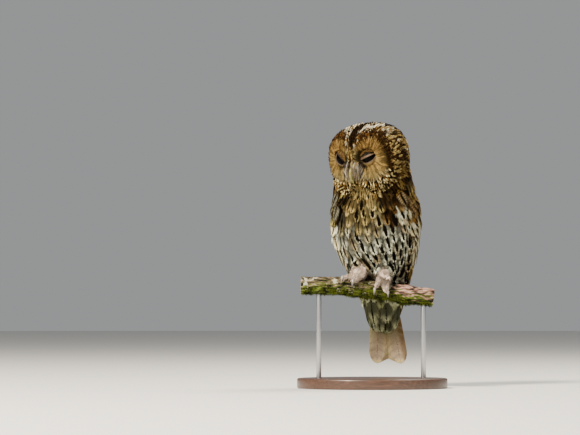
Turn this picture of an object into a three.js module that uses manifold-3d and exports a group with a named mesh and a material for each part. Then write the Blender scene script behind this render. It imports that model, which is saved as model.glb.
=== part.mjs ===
// A tawny owl, life size, gripping a short length of branch that a plain display stand holds up.
// Millimetres, +Z up. The origin is the centre of the base's underside. +X runs along the perch,
// and the owl looks towards -Y, turned a little to -X. Left and right are the owl's own.
import * as THREE from "three";
import { mergeVertices } from "three/addons/utils/BufferGeometryUtils.js";
import Module from "manifold-3d";

const wasm = await Module();
wasm.setup();

// ---- Driving dimensions ----

const GAP = 0.35; // clearance between touching pieces
const DEG = Math.PI / 180;

const base = { length: 236, depth: 196, thickness: 16, bevel: 2.5 };
const perch = { radius: 14, from: -112, to: 96, y: -14, z: 154, fall: 7, slope: 0.125, sag: 5, lump: 0.7 };
const rod = { radius: 4, socket: 8, at: [-84, 80] };

const body = { yaw: -17 * DEG, top: 240, bottom: -68, neckCut: 140, ventCut: 0 };
const head = {
  at: [-1.5, -14, 206], turn: -16 * DEG, nod: 15 * DEG,
  halfWidth: 62, front: 58, back: 60, crown: 56, chin: 52, squareness: 2.5,
};
// A facial disc is an upright oval dish on the head's front, centred below its eye.
const disc = { x: 27, z: 0, halfWidth: 26, halfHeight: 42, dish: 9, depth: 15 };
const eye = { x: 25, y: -36, z: 11.5, radius: 12 };
// Each half of the bill curves down from its root, out to its reach, and back in to its tip.
const bill = {
  rootY: -44, tipY: -54, tipRadius: 0.9, narrow: 0.72,
  upper: { rootZ: 0, bendZ: -6, tipZ: -27, reach: 69, radius: 8 },
  lower: { rootZ: -14, bendZ: -16, tipZ: -23, reach: 56, radius: 4.2 },
};
const wing = { top: 152, bottom: -58, thick: 7, tipThick: 4, edge: 1, sunk: 3, cut: 28 };
const tail = { root: 14, tip: -117, lean: 16 * DEG, rootY: 62, halfWidth: 33, thick: 7, notch: 4 };
// The shank runs from the hip, in the owl's own frame, down to the ankle over the perch.
const shank = { hip: [21, 18, 60], hipRadius: 16, ankleRadius: 13 };
const toe = { radius: 5.6, tipRadius: 4.2, clear: 0.8, arch: 5, knuckle: 0.5 };
const claw = { radius: 2.6, tipRadius: 0.6, clear: 1.4, arch: 3.2, sweep: 39 * DEG, sunk: 4 * DEG };
// Each foot stands at x along the perch. A toe drifts along the perch by its first number and
// reaches round it by its second, in degrees from the top towards the front.
const feet = {
  left: {
    x: 17, ankle: 25,
    toes: { inner: [-15, 84], middle: [7, 88], hind: [-6, -78], outer: [10, -74] },
  },
  right: {
    x: -18, ankle: 29,
    toes: { inner: [-31, 46], middle: [-14, 56], hind: [5, -76], outer: [-12, -80] },
  },
};

// ---- Turning geometry into solids ----

// A closed solid from a geometry whose faces meet once equal points are merged.
function solid(geometry) {
  const bare = geometry.clone();
  bare.deleteAttribute("normal");
  bare.deleteAttribute("uv");
  const merged = mergeVertices(bare, 1e-4);
  const mesh = new wasm.Mesh({
    numProp: 3,
    vertProperties: merged.attributes.position.array,
    triVerts: new Uint32Array(merged.index.array),
  });
  return new wasm.Manifold(mesh);
}

function geometryOf(manifold) {
  const mesh = manifold.getMesh();
  return new THREE.BufferGeometry()
    .setAttribute("position", new THREE.BufferAttribute(mesh.vertProperties, 3))
    .setIndex(new THREE.BufferAttribute(mesh.triVerts, 1));
}

// Cutting can leave crumbs beside the piece that is wanted: the largest body is kept.
function largest(manifold) {
  return manifold.decompose().sort((p, q) => q.volume() - p.volume())[0];
}

// Every vertex of a geometry is moved to where place(point) says.
function reshaped(geometry, place) {
  const position = geometry.attributes.position;
  const point = new THREE.Vector3();
  for (let i = 0; i < position.count; i++) {
    const moved = place(point.fromBufferAttribute(position, i));
    position.setXYZ(i, moved.x, moved.y, moved.z);
  }
  return geometry;
}

// A sphere whose poles are at +Z and -Z.
const upright = (around, rings) => new THREE.SphereGeometry(1, around, rings).rotateX(Math.PI / 2);

const smooth = (low, high, x) => THREE.MathUtils.smoothstep(x, low, high);
const mix = THREE.MathUtils.lerp;

// A smooth function through [input, value] pairs, in order of input.
function through(pairs) {
  const curve = new THREE.SplineCurve(pairs.map(([x, y]) => new THREE.Vector2(x, y)));
  const last = pairs.length - 1;
  return (x) => {
    let i = 0;
    while (i < last - 1 && x > pairs[i + 1][0]) i++;
    const share = (x - pairs[i][0]) / (pairs[i + 1][0] - pairs[i][0]);
    return curve.getPoint((i + THREE.MathUtils.clamp(share, 0, 1)) / last).y;
  };
}

// How far a section swells at s, from -1 at one end to 1 at the other, so that both ends are round.
const rounded = (s, power) => Math.pow(Math.max(0, 1 - Math.pow(Math.abs(s), power)), 1 / power);

// A limb of round section along path(u), with radius(u), its width along X taken down to the share flat.
function limb(path, radius, { around, rings, flat = 1, end = 3 }) {
  const side = new THREE.Vector3(1, 0, 0);
  const step = 0.01;
  return reshaped(upright(around, rings), (p) => {
    const u = (1 - p.z) / 2;
    const ring = Math.hypot(p.x, p.y) || 1;
    const ahead = path(Math.min(1, u + step)).sub(path(Math.max(0, u - step))).normalize();
    const up = new THREE.Vector3().crossVectors(ahead, side).normalize();
    const across = new THREE.Vector3().crossVectors(up, ahead).normalize();
    const swell = radius(u) * rounded(p.z, end);
    return path(u)
      .addScaledVector(across, (-p.x / ring) * swell * flat)
      .addScaledVector(up, (p.y / ring) * swell);
  });
}

// ---- Frames: the owl stands on the perch's axis, and its head is turned and bent on its body ----

const stance = new THREE.Matrix4().makeRotationZ(body.yaw).setPosition(0, perch.y, perch.z);
const headFrame = new THREE.Matrix4()
  .makeTranslation(...head.at)
  .multiply(new THREE.Matrix4().makeRotationZ(head.turn))
  .multiply(new THREE.Matrix4().makeRotationX(head.nod));

// ---- Trunk and neck: sections stacked by height above the perch's axis ----

// [height above the perch's axis, the section's centre and its reach to the sides, front and back]
const section = sectionsThrough([
  [-68, 68, 27, 16, 12],
  [-25, 56, 34, 23, 24],
  [0, 47, 39, 17, 31],
  [20, 40, 45, 22, 36],
  [45, 31, 54, 50, 44],
  [75, 22, 61, 61, 51],
  [105, 15, 64, 63, 57],
  [141, 8, 66, 58, 60],
  [165, 3, 68, 46, 60],
  [190, -4, 66, 40, 56],
  [216, -8, 62, 36, 48],
]);

function sectionsThrough(rows) {
  const curve = (column) => through(rows.map((row) => [row[0], row[column]]));
  return { centre: curve(1), width: curve(2), front: curve(3), back: curve(4) };
}

// The trunk's surface at a height and an angle, from 0 at the owl's left to 90 degrees at its back.
function onTrunk(height, angle, out = 0, swell = 1) {
  const side = Math.cos(angle);
  const deep = Math.sin(angle);
  const depth = deep < 0 ? section.front(height) : section.back(height);
  return new THREE.Vector3(
    side * (section.width(height) * swell + out),
    section.centre(height) + deep * (depth * swell + out),
    height,
  );
}

function torso(grow = 0) {
  const middle = (body.top + body.bottom) / 2;
  const half = (body.top - body.bottom) / 2 + grow;
  return reshaped(upright(27, 20), (p) => {
    const height = middle + p.z * half;
    return onTrunk(height, Math.atan2(p.y, p.x), grow, rounded(p.z, 5));
  });
}

// ---- Head: a squarish ball with two dishes on its front, parted by the ridge that carries the bill ----

// How deep in a facial disc a point of the head's front is: 1 at its middle, 0 at its rim.
function inDisc(x, z) {
  const away = Math.hypot((Math.abs(x) - disc.x) / disc.halfWidth, (z - disc.z) / disc.halfHeight);
  return Math.max(0, 1 - away * away);
}

function skull(grow = 0) {
  const p = head.squareness;
  const faced = new THREE.SphereGeometry(1, 28, 16); // its poles are turned to the face and the nape
  return reshaped(faced, (d) => {
    const depth = d.y < 0 ? head.front : head.back;
    const height = d.z < 0 ? head.chin : head.crown;
    const power =
      Math.pow(Math.abs(d.x) / (head.halfWidth + grow), p) +
      Math.pow(Math.abs(d.y) / (depth + grow), p) +
      Math.pow(Math.abs(d.z) / (height + grow), p);
    const out = d.clone().multiplyScalar(Math.pow(power, -1 / p));
    if (out.y < 0) out.y += disc.dish * smooth(0, 0.8, inDisc(out.x, out.z));
    return out;
  });
}

const headTorso = solid(torso());
const grownTorso = solid(torso(GAP));
const headBall = solid(skull().applyMatrix4(headFrame));
const grownHead = solid(skull(GAP).applyMatrix4(headFrame));

// An upright oval plug through the head's front, the outline of one facial disc.
function discPlug(sign, grow = 0) {
  const plug = new THREE.CylinderGeometry(1, 1, 60, 16)
    .scale(disc.halfWidth + grow, 1, disc.halfHeight + grow)
    .translate(sign * disc.x, -head.front - 30 + disc.dish + disc.depth + grow, disc.z);
  return solid(plug.applyMatrix4(headFrame));
}

// ---- Eyes and bill, in the head's own frame ----

const eyeball = (grow = 0) => new THREE.SphereGeometry(eye.radius + grow, 14, 8);

function billHalf(half, grow = 0) {
  const path = new THREE.QuadraticBezierCurve3(
    new THREE.Vector3(0, bill.rootY, half.rootZ),
    new THREE.Vector3(0, -half.reach, half.bendZ),
    new THREE.Vector3(0, bill.tipY, half.tipZ),
  );
  const radius = (u) => mix(half.radius, bill.tipRadius, Math.pow(u, 1.5)) + grow;
  return limb((u) => path.getPoint(u), radius, { around: 10, rings: 9, flat: bill.narrow, end: 6 });
}

// ---- Wings: pads that lie along the trunk's flanks, from the shoulder to the crossed tips ----

const wingEdge = {
  front: through([[-58, 50], [-20, 26], [20, 4], [70, -14], [120, -16], [152, -6]]),
  back: through([[-58, 84], [-20, 87], [20, 87], [70, 84], [120, 76], [152, 66]]),
};

function wingPad(sign) {
  const half = (wing.top - wing.bottom) / 2;
  const middle = (wing.top + wing.bottom) / 2;
  const pad = new THREE.SphereGeometry(1, 18, 10); // its poles become the wing's two faces
  return reshaped(pad, (p) => {
    const height = middle + p.z * half;
    const across = p.x / Math.max(Math.sqrt(1 - p.z * p.z), 1e-6);
    const share = (across * rounded(p.z, 3) + 1) / 2;
    const angle = mix(wingEdge.front(height), wingEdge.back(height), share) * DEG;
    const thick = mix(wing.tipThick, wing.thick, smooth(wing.bottom, 60, height));
    const outer = wing.edge + thick * Math.pow(Math.max(0, p.y), 0.6);
    const point = onTrunk(height, angle, p.y < -0.1 ? -wing.sunk : outer);
    point.x *= sign;
    return point;
  });
}

// ---- Tail: a slim closed fan with two rounded lobes ----

function fan() {
  return reshaped(upright(12, 12), (p) => {
    const ring = Math.hypot(p.x, p.y) || 1;
    const across = p.x / ring;
    const swell = rounded(p.z, 4.5);
    const height = mix(tail.tip, tail.root, (p.z + 1) / 2);
    const low = smooth(0.2, 1, -p.z);
    const x = across * tail.halfWidth * mix(0.86, 1, smooth(-1, 1, -p.z)) * swell;
    const arch = 5 * (1 - across * across);
    const lobes = low * tail.notch * Math.cos((x / tail.halfWidth) * Math.PI) * (1 - swell * 0.5);
    const y = tail.rootY - (height - tail.root) * Math.tan(tail.lean) + arch;
    return new THREE.Vector3(x, y + (p.y / ring) * swell * tail.thick * 0.5, height + lobes);
  });
}

// ---- Perch: a gently bent branch with swellings, cut square at both ends ----

const perchCurve = (x) => {
  const rise = perch.fall * (1 - smooth(-60, 0, x)) - perch.slope * Math.max(0, x);
  return new THREE.Vector3(x, perch.y + perch.sag * Math.sin(x / 60), perch.z + rise);
};

function branch(grow = 0) {
  const length = perch.to - perch.from;
  const log = new THREE.CylinderGeometry(1, 1, 1, 12, 10).rotateZ(-Math.PI / 2);
  return reshaped(log, (p) => {
    const x = perch.from + (p.x + 0.5) * length + (p.x > 0 ? grow : -grow);
    const angle = Math.atan2(p.z, p.y);
    const lumps = perch.lump * (Math.sin(3 * angle + x / 17) + Math.sin(x / 21));
    const radius = Math.hypot(p.y, p.z) * (perch.radius + lumps + grow);
    const centre = perchCurve(x);
    return new THREE.Vector3(x, centre.y + Math.cos(angle) * radius, centre.z + Math.sin(angle) * radius);
  });
}

const grownBranch = solid(branch(GAP));

// ---- Legs, toes and claws: two toes of each foot reach over the front, two over the back ----

// A point by the perch: x along it, angle from its top towards the front, and distance from its axis.
function byPerch(x, angle, away) {
  const centre = perchCurve(x);
  return new THREE.Vector3(x, centre.y - Math.sin(angle) * away, centre.z + Math.cos(angle) * away);
}

function toeLimb(foot, [drift, reach], grow = 0) {
  const radius = (u) => mix(toe.radius, toe.tipRadius, u);
  const away = (u) => perch.radius + radius(u) + toe.clear + toe.arch * Math.pow(1 - u, 2);
  const path = (u) => byPerch(foot.x + drift * u, reach * u * DEG, away(u));
  const knuckles = (u) => radius(u) + toe.knuckle * Math.cos(u * Math.PI * 5) + grow;
  return limb(path, knuckles, { around: 7, rings: 7 });
}

function clawLimb(foot, [drift, reach]) {
  const root = perch.radius + toe.tipRadius + 2 * toe.clear;
  const path = (u) => {
    const angle = reach * DEG + Math.sign(reach) * (claw.sweep * u - claw.sunk);
    const arch = claw.arch * Math.sin(u * Math.PI) * (1 - u / 2);
    const away = mix(root, perch.radius + claw.clear, u * u) + arch;
    return byPerch(foot.x + drift * (0.93 + u * 0.1), angle, away);
  };
  return limb(path, (u) => mix(claw.radius, claw.tipRadius, u), { around: 6, rings: 6, end: 5 });
}

// The feathered shank, from inside the belly down to the toes.
function shankLimb(sign) {
  const foot = sign > 0 ? feet.left : feet.right;
  const hip = new THREE.Vector3(...shank.hip).multiply(new THREE.Vector3(sign, 1, 1)).applyMatrix4(stance);
  const ankle = byPerch(foot.x, 0, foot.ankle - 3);
  const bend = hip.clone().lerp(ankle, 0.5).add(new THREE.Vector3(0, -5, -3));
  const path = new THREE.QuadraticBezierCurve3(hip, bend, ankle);
  const radius = (u) => mix(shank.hipRadius, shank.ankleRadius, u);
  return limb((u) => path.getPoint(u), radius, { around: 10, rings: 8 });
}

// ---- Stand ----

function standBase() {
  const outline = new THREE.Shape();
  outline.absellipse(0, 0, base.length / 2 - base.bevel, base.depth / 2 - base.bevel, 0, 2 * Math.PI);
  const plate = new THREE.ExtrudeGeometry(outline, {
    depth: base.thickness - 2 * base.bevel,
    bevelEnabled: true,
    bevelSize: base.bevel,
    bevelThickness: base.bevel,
    bevelSegments: 2,
    curveSegments: 12,
  });
  return plate.translate(0, 0, base.bevel);
}

// A rod from its socket in the base to its socket in the perch.
function standRod(x, grow = 0) {
  const bottom = base.thickness - rod.socket;
  const top = perchCurve(x).z - perch.radius + rod.socket;
  const length = top - bottom + 2 * grow;
  return new THREE.CylinderGeometry(rod.radius + grow, rod.radius + grow, length, 12)
    .rotateX(Math.PI / 2)
    .translate(x, perchCurve(x).y, (top + bottom) / 2);
}

// ---- Parting the owl into its named pieces ----

const inStance = (manifold) => solid(geometryOf(manifold).applyMatrix4(stance));
const inHead = (geometry) => solid(geometry.applyMatrix4(headFrame));

// A thin level cut right through the body.
const levelCut = (height) =>
  solid(new THREE.BoxGeometry(400, 400, 2 * GAP).translate(0, 0, height));

const sockets = [-1, 1].map((sign) => inHead(eyeball(GAP).translate(sign * eye.x, eye.y, eye.z)));
const billPocket = inHead(billHalf(bill.upper, GAP)).add(inHead(billHalf(bill.lower, GAP)));

const hollowed = sockets.reduce((whole, socket) => whole.subtract(socket), headBall).subtract(billPocket);
const midline = inHead(new THREE.BoxGeometry(2 * GAP + 5, 300, 300));

const discs = [1, -1].map((sign) => largest(hollowed.intersect(discPlug(sign)).subtract(midline)));
const skullOnly = largest([1, -1].reduce((whole, sign) => whole.subtract(discPlug(sign, GAP)), hollowed));

// The belly rests on the perch, which is taken out of it in the owl's own frame.
const perchSpace = solid(branch(GAP).applyMatrix4(stance.clone().invert()));

const [neckPart, trunkPart, ventPart] = headTorso
  .subtract(grownHead)
  .subtract(perchSpace)
  .subtract(levelCut(body.neckCut))
  .subtract(levelCut(body.ventCut))
  .decompose()
  .filter((piece) => piece.volume() > 500)
  .sort((p, q) => q.boundingBox().max[2] - p.boundingBox().max[2]);

function wingParts(sign) {
  return solid(sign > 0 ? flipped(wingPad(1)) : wingPad(-1))
    .subtract(grownTorso)
    .subtract(grownHead)
    .subtract(levelCut(wing.cut))
    .decompose()
    .filter((piece) => piece.volume() > 500)
    .sort((p, q) => q.boundingBox().max[2] - p.boundingBox().max[2]);
}

// The left wing's faces point inwards until their corners are taken in the other order.
function flipped(geometry) {
  const index = geometry.index.array;
  for (let i = 0; i < index.length; i += 3) [index[i + 1], index[i + 2]] = [index[i + 2], index[i + 1]];
  return geometry;
}

const wings = { left: wingParts(1), right: wingParts(-1) };
const wingSpace = [...wings.left, ...wings.right];

function tailPart() {
  const fanSolid = solid(fan()).subtract(grownTorso);
  const widened = (m) => m.translate([0, GAP, 0]).add(m.translate([0, -GAP, 0])).add(m);
  return largest(wingSpace.reduce((whole, part) => whole.subtract(widened(part)), fanSolid));
}

const placedTorso = inStance(grownTorso);

function footParts(side) {
  const foot = feet[side];
  const sign = side === "left" ? 1 : -1;
  const toes = Object.values(foot.toes).map((spec) => solid(toeLimb(foot, spec)));
  const fleshed = toes.reduce((whole, part) => whole.add(part), solid(shankLimb(sign)));
  const free = fleshed.subtract(grownBranch).subtract(placedTorso);
  const thick = Object.values(foot.toes).map((spec) => solid(toeLimb(foot, spec, GAP)));
  const claws = Object.fromEntries(
    Object.entries(foot.toes).map(([name, spec]) => {
      const whole = solid(clawLimb(foot, spec)).subtract(grownBranch).subtract(placedTorso);
      return [name, largest(thick.reduce((rest, part) => rest.subtract(part), whole))];
    }),
  );
  return { foot: largest(free), claws };
}

// ---- The model ----

function paint(color, roughness, metalness = 0) {
  return new THREE.MeshStandardMaterial({ color, roughness, metalness });
}

const finish = {
  crown: paint(0x5b4028, 0.9),
  face: paint(0xa98455, 0.9),
  breast: paint(0xb08a5a, 0.9),
  belly: paint(0xd3c6ab, 0.9),
  wing: paint(0x7a5836, 0.9),
  tail: paint(0xa99079, 0.85),
  leg: paint(0xcdb79c, 0.9),
  claw: paint(0x8f8882, 0.35),
  bill: paint(0xa79a55, 0.4),
  eye: paint(0x0d0a0a, 0.08),
  bark: paint(0x6f6450, 0.95),
  board: paint(0x3b2a20, 0.5),
  steel: paint(0x9a9a98, 0.3, 1),
};

const owl = new THREE.Group();
const onBody = new THREE.Group();
const onHead = new THREE.Group();
onBody.rotation.z = body.yaw;
onBody.position.set(0, perch.y, perch.z);
onHead.position.set(...head.at);
onHead.rotation.set(head.nod, 0, head.turn, "ZYX");
onBody.add(onHead);
owl.add(onBody);

function place(group, name, geometry, material) {
  const mesh = new THREE.Mesh(geometry, material);
  mesh.name = name;
  group.add(mesh);
  return mesh;
}

place(onBody, "head", geometryOf(skullOnly), finish.crown);
place(onBody, "neck", geometryOf(neckPart), finish.crown);
place(onBody, "trunk", geometryOf(trunkPart), finish.breast);
place(onBody, "undertail", geometryOf(ventPart), finish.belly);
place(onBody, "tail", geometryOf(tailPart()), finish.tail);

place(onHead, "bill_upper", billHalf(bill.upper), finish.bill);
const lowerJaw = largest(solid(billHalf(bill.lower)).subtract(solid(billHalf(bill.upper, GAP))));
place(onHead, "bill_lower", geometryOf(lowerJaw), finish.bill);

["left", "right"].forEach((side, i) => {
  const sign = i === 0 ? 1 : -1;
  place(onBody, `facial_disc_${side}`, geometryOf(discs[i]), finish.face);
  place(onHead, `eye_${side}`, eyeball(), finish.eye).position.set(sign * eye.x, eye.y, eye.z);
  place(onBody, `wing_${side}`, geometryOf(wings[side][0]), finish.wing);
  place(onBody, `wing_tip_${side}`, geometryOf(wings[side][1]), finish.wing);

  const { foot, claws } = footParts(side);
  place(owl, `leg_${side}`, geometryOf(foot), finish.leg);
  for (const [name, piece] of Object.entries(claws)) {
    place(owl, `claw_${name}_${side}`, geometryOf(piece), finish.claw);
  }
});

const holes = rod.at.map((x) => solid(standRod(x, GAP)));
const drilled = (manifold) => holes.reduce((whole, hole) => whole.subtract(hole), manifold);
place(owl, "perch", geometryOf(drilled(solid(branch()))), finish.bark);
place(owl, "stand_base", geometryOf(drilled(solid(standBase()))), finish.board);
rod.at.forEach((x, i) => place(owl, `stand_rod_${i + 1}`, standRod(x), finish.steel));

export default owl;
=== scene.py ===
"""A tawny owl on a short length of branch, carried by a plain display stand.

Every operator makes one piece, or one group of like pieces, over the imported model's frame. Metres, +Z up.
"""

import math

import bmesh
import bpy
import numpy as np
from mathutils import Matrix, Vector, noise
from mathutils.bvhtree import BVHTree


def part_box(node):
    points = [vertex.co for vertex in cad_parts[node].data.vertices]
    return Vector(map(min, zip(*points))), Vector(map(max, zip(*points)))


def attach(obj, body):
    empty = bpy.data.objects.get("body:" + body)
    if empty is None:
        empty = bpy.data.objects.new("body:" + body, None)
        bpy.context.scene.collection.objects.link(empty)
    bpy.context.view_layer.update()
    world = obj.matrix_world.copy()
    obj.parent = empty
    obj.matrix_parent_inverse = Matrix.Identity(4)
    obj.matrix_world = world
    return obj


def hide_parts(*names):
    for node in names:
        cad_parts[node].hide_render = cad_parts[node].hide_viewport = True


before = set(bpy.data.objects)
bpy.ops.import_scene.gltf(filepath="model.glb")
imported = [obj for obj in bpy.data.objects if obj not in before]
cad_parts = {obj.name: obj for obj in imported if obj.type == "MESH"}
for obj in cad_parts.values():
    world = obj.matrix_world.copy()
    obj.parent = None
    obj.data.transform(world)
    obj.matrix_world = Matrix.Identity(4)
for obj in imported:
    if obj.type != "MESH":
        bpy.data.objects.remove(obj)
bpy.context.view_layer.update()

bl_info = {
    "name": "Tawny owl on a stand",
    "version": (1, 0, 0),
    "blender": (4, 5, 0),
    "location": "View3D > Sidebar > Owl",
    "description": "Builds the owl's skin, feathers, eyes, bill, claws, perch and stand",
    "category": "Object",
}

MM = 0.001
WHITE = np.ones(3)

# The owl stands on the perch's axis, turned to one side, and its head is turned and bent further.
PERCH = (0.0, -0.014, 0.154)
STANCE = Matrix.Translation(PERCH) @ Matrix.Rotation(math.radians(-17), 4, "Z")
HEAD = (
    STANCE
    @ Matrix.Translation((-0.0015, -0.014, 0.206))
    @ Matrix.Rotation(math.radians(-16), 4, "Z")
    @ Matrix.Rotation(math.radians(15), 4, "X")
)
EYE = Vector((0.0226, -0.0365, 0.0088))  # the left eye's centre on the head; the right eye mirrors it
EYE_RADIUS = 0.012
DISC = Vector((0.027, 0.0, 0.0))  # the left facial disc's centre, and its half width and height
DISC_HALF = (0.026, 0.042)
BILL_ROOT = np.array([0.0, -0.056, -0.012])  # where the coat of the head parts, on the head

# The lids turn about a line through the eye's corners: how far each edge stands from straight ahead,
# upwards, and how far back its other edge lies, in degrees.
UPPER_LID = {1: (9.0, 96.0), -1: (26.0, 104.0)}  # left and right: the right eye is open wider
LOWER_LID = (-32.0, -84.0)
LID_THICKNESS = 0.0011
CORNER_TILT = {1: 19.0, -1: 46.0}  # the outer corner stands above the inner one by this angle, left and right
GAZE = 16.0  # each eye looks outwards by this angle

FLESH = [
    "head", "facial_disc_left", "facial_disc_right", "neck", "trunk", "undertail",
    "wing_left", "wing_right", "wing_tip_left", "wing_tip_right", "leg_left", "leg_right",
]
# The middle of the body from back to front, in mm behind the perch's axis, at heights above it.
BODY_AXIS = ((-68, -25, 0, 20, 45, 75, 105, 141, 165, 190, 216), (68, 56, 47, 40, 31, 22, 15, 8, 3, -4, -8))
# How deep the coat is over each part, so how far the skin lies inside it, in mm.
COAT_DEPTH = {
    "head": 4.0, "facial_disc": 2.2, "neck": 6.0, "trunk": 6.0, "undertail": 5.0,
    "wing": 3.5, "wing_tip": 2.5, "leg": 1.5,
}
# How the feathers over each part are cut: length, half width, distance between roots, and how far the tip
# stands above the skin, in mm.
CUT = {
    "head": (15.0, 2.7, 4.0, 3.6),
    "facial_disc": (9.5, 0.36, 1.05, 2.2),
    "neck": (31.0, 6.6, 7.6, 6.5),
    "trunk": (45.0, 8.6, 11.4, 7.5),
    "undertail": (52.0, 11.0, 14.0, 5.0),
    "wing": (27.0, 6.2, 7.4, 3.6),
    "wing_tip": (30.0, 6.0, 9.0, 2.0),
    "leg": (8.0, 0.42, 0.62, 3.2),
}
# Painted shadows in the dark gaps beside the throat, down the middle of the breast and at the right shoulder:
# where they are across the body and above the perch, and their half width and height.
PAINTED_SHADOWS = ((0.033, 0.152, 0.006, 0.022), (0.019, 0.128, 0.004, 0.012), (-0.03, 0.145, 0.008, 0.012))
# Flight feathers from the outermost primary to the innermost: root and tip as (angle, height in mm),
# and half width in mm.
FLIGHTS = [
    ((-6, 66), (47, -50), 8.5), ((-3, 66), (53, -55), 9.0), ((0, 67), (59, -58), 9.5),
    ((3, 68), (64, -58), 10.0), ((6, 69), (69, -55), 10.0), ((9, 70), (73, -50), 10.5),
    ((12, 71), (76, -43), 11.0), ((16, 72), (78, -35), 11.0), ((20, 73), (80, -27), 11.5),
    ((24, 75), (80, -19), 11.5), ((28, 77), (81, -11), 12.0), ((33, 80), (81, -3), 12.0),
    ((38, 83), (81, 6), 12.5), ((44, 87), (82, 16), 12.5), ((50, 92), (82, 27), 12.5),
    ((56, 98), (82, 40), 12.5),
]
# Rows of coverts and scapulars over each wing: tips as angles and heights in mm, length in mm, half width,
# how far the root stands behind the tip in degrees, and the tip's height over the skin in mm.
ROWS = {
    "greater": ([-16, -5, 6, 17, 28, 39, 50, 61, 72], [44, 40, 39, 42, 46, 52, 60, 70, 80], 44, 9.5, -9, 5.0),
    "median": ([-17, -7, 3, 14, 25, 36, 47, 58, 69], [68, 63, 60, 62, 66, 71, 78, 87, 96], 36, 9.0, -7, 5.6),
    "lesser": ([-19, -9, 1, 11, 21, 31, 41, 51, 61, 72],
               [88, 84, 81, 82, 85, 89, 95, 102, 108, 114], 30, 8.2, -4, 6.0),
    "scapular": ([-27, -14, -1, 11, 24, 37, 51, 65], [108, 100, 95, 94, 97, 103, 111, 119], 42, 12.0, -16, 7.6),
    "shoulder": ([-22, -11, 1, 13, 26, 40, 54], [130, 124, 119, 118, 121, 127, 133], 34, 9.0, -15, 7.4),
}
BARB_THICKNESS = 0.00022
BRANCH_ENDS = (-112.0, 96.0)  # in mm
BRANCH_RADIUS = 0.014


# ---- Colours and materials ----


def linear(hex_colour):
    """An sRGB hex colour as linear RGBA."""
    parts = [int(hex_colour[i : i + 2], 16) / 255 for i in (0, 2, 4)]
    return tuple(c / 12.92 if c <= 0.04045 else ((c + 0.055) / 1.055) ** 2.4 for c in parts) + (1.0,)


def rgb(hex_colour):
    return np.array(linear(hex_colour)[:3])


def tone(name):
    """A colour that the sidebar sets, as linear red, green and blue."""
    return np.array(getattr(bpy.context.scene.owl_colours, name)[:])


def link(node, links):
    """Sets a node's inputs, by name or number, to values or to other nodes' outputs. A node stands for the
    first output it has in use."""
    for name, value in links.items():
        if isinstance(value, bpy.types.Node):
            value = next(output for output in value.outputs if output.enabled)
        if isinstance(value, bpy.types.NodeSocket):
            node.id_data.links.new(value, node.inputs[name])
        else:
            node.inputs[name].default_value = value


def add(tree, kind, links=None, stops=(), **settings):
    """Adds a node with its settings and links. stops are a colour ramp's places and colours."""
    node = tree.nodes.new("ShaderNode" + kind)
    for name, value in settings.items():
        setattr(node, name, value)
    for k, (place, colour) in enumerate(stops):
        elements = node.color_ramp.elements
        stop = elements[k] if k < len(elements) else elements.new(place)
        stop.position = place
        stop.color = linear(colour) if isinstance(colour, str) else (*colour, 1.0)
    link(node, links or {})
    return node


def material(name, **shader):
    """A new material with one Principled shader, whose uniform values are set on its own sockets."""
    made = bpy.data.materials.new(name)
    made.use_nodes = True
    surface = made.node_tree.nodes["Principled BSDF"]
    link(surface, {socket.replace("_", " "): value for socket, value in shader.items()})
    return made, made.node_tree, surface


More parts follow.
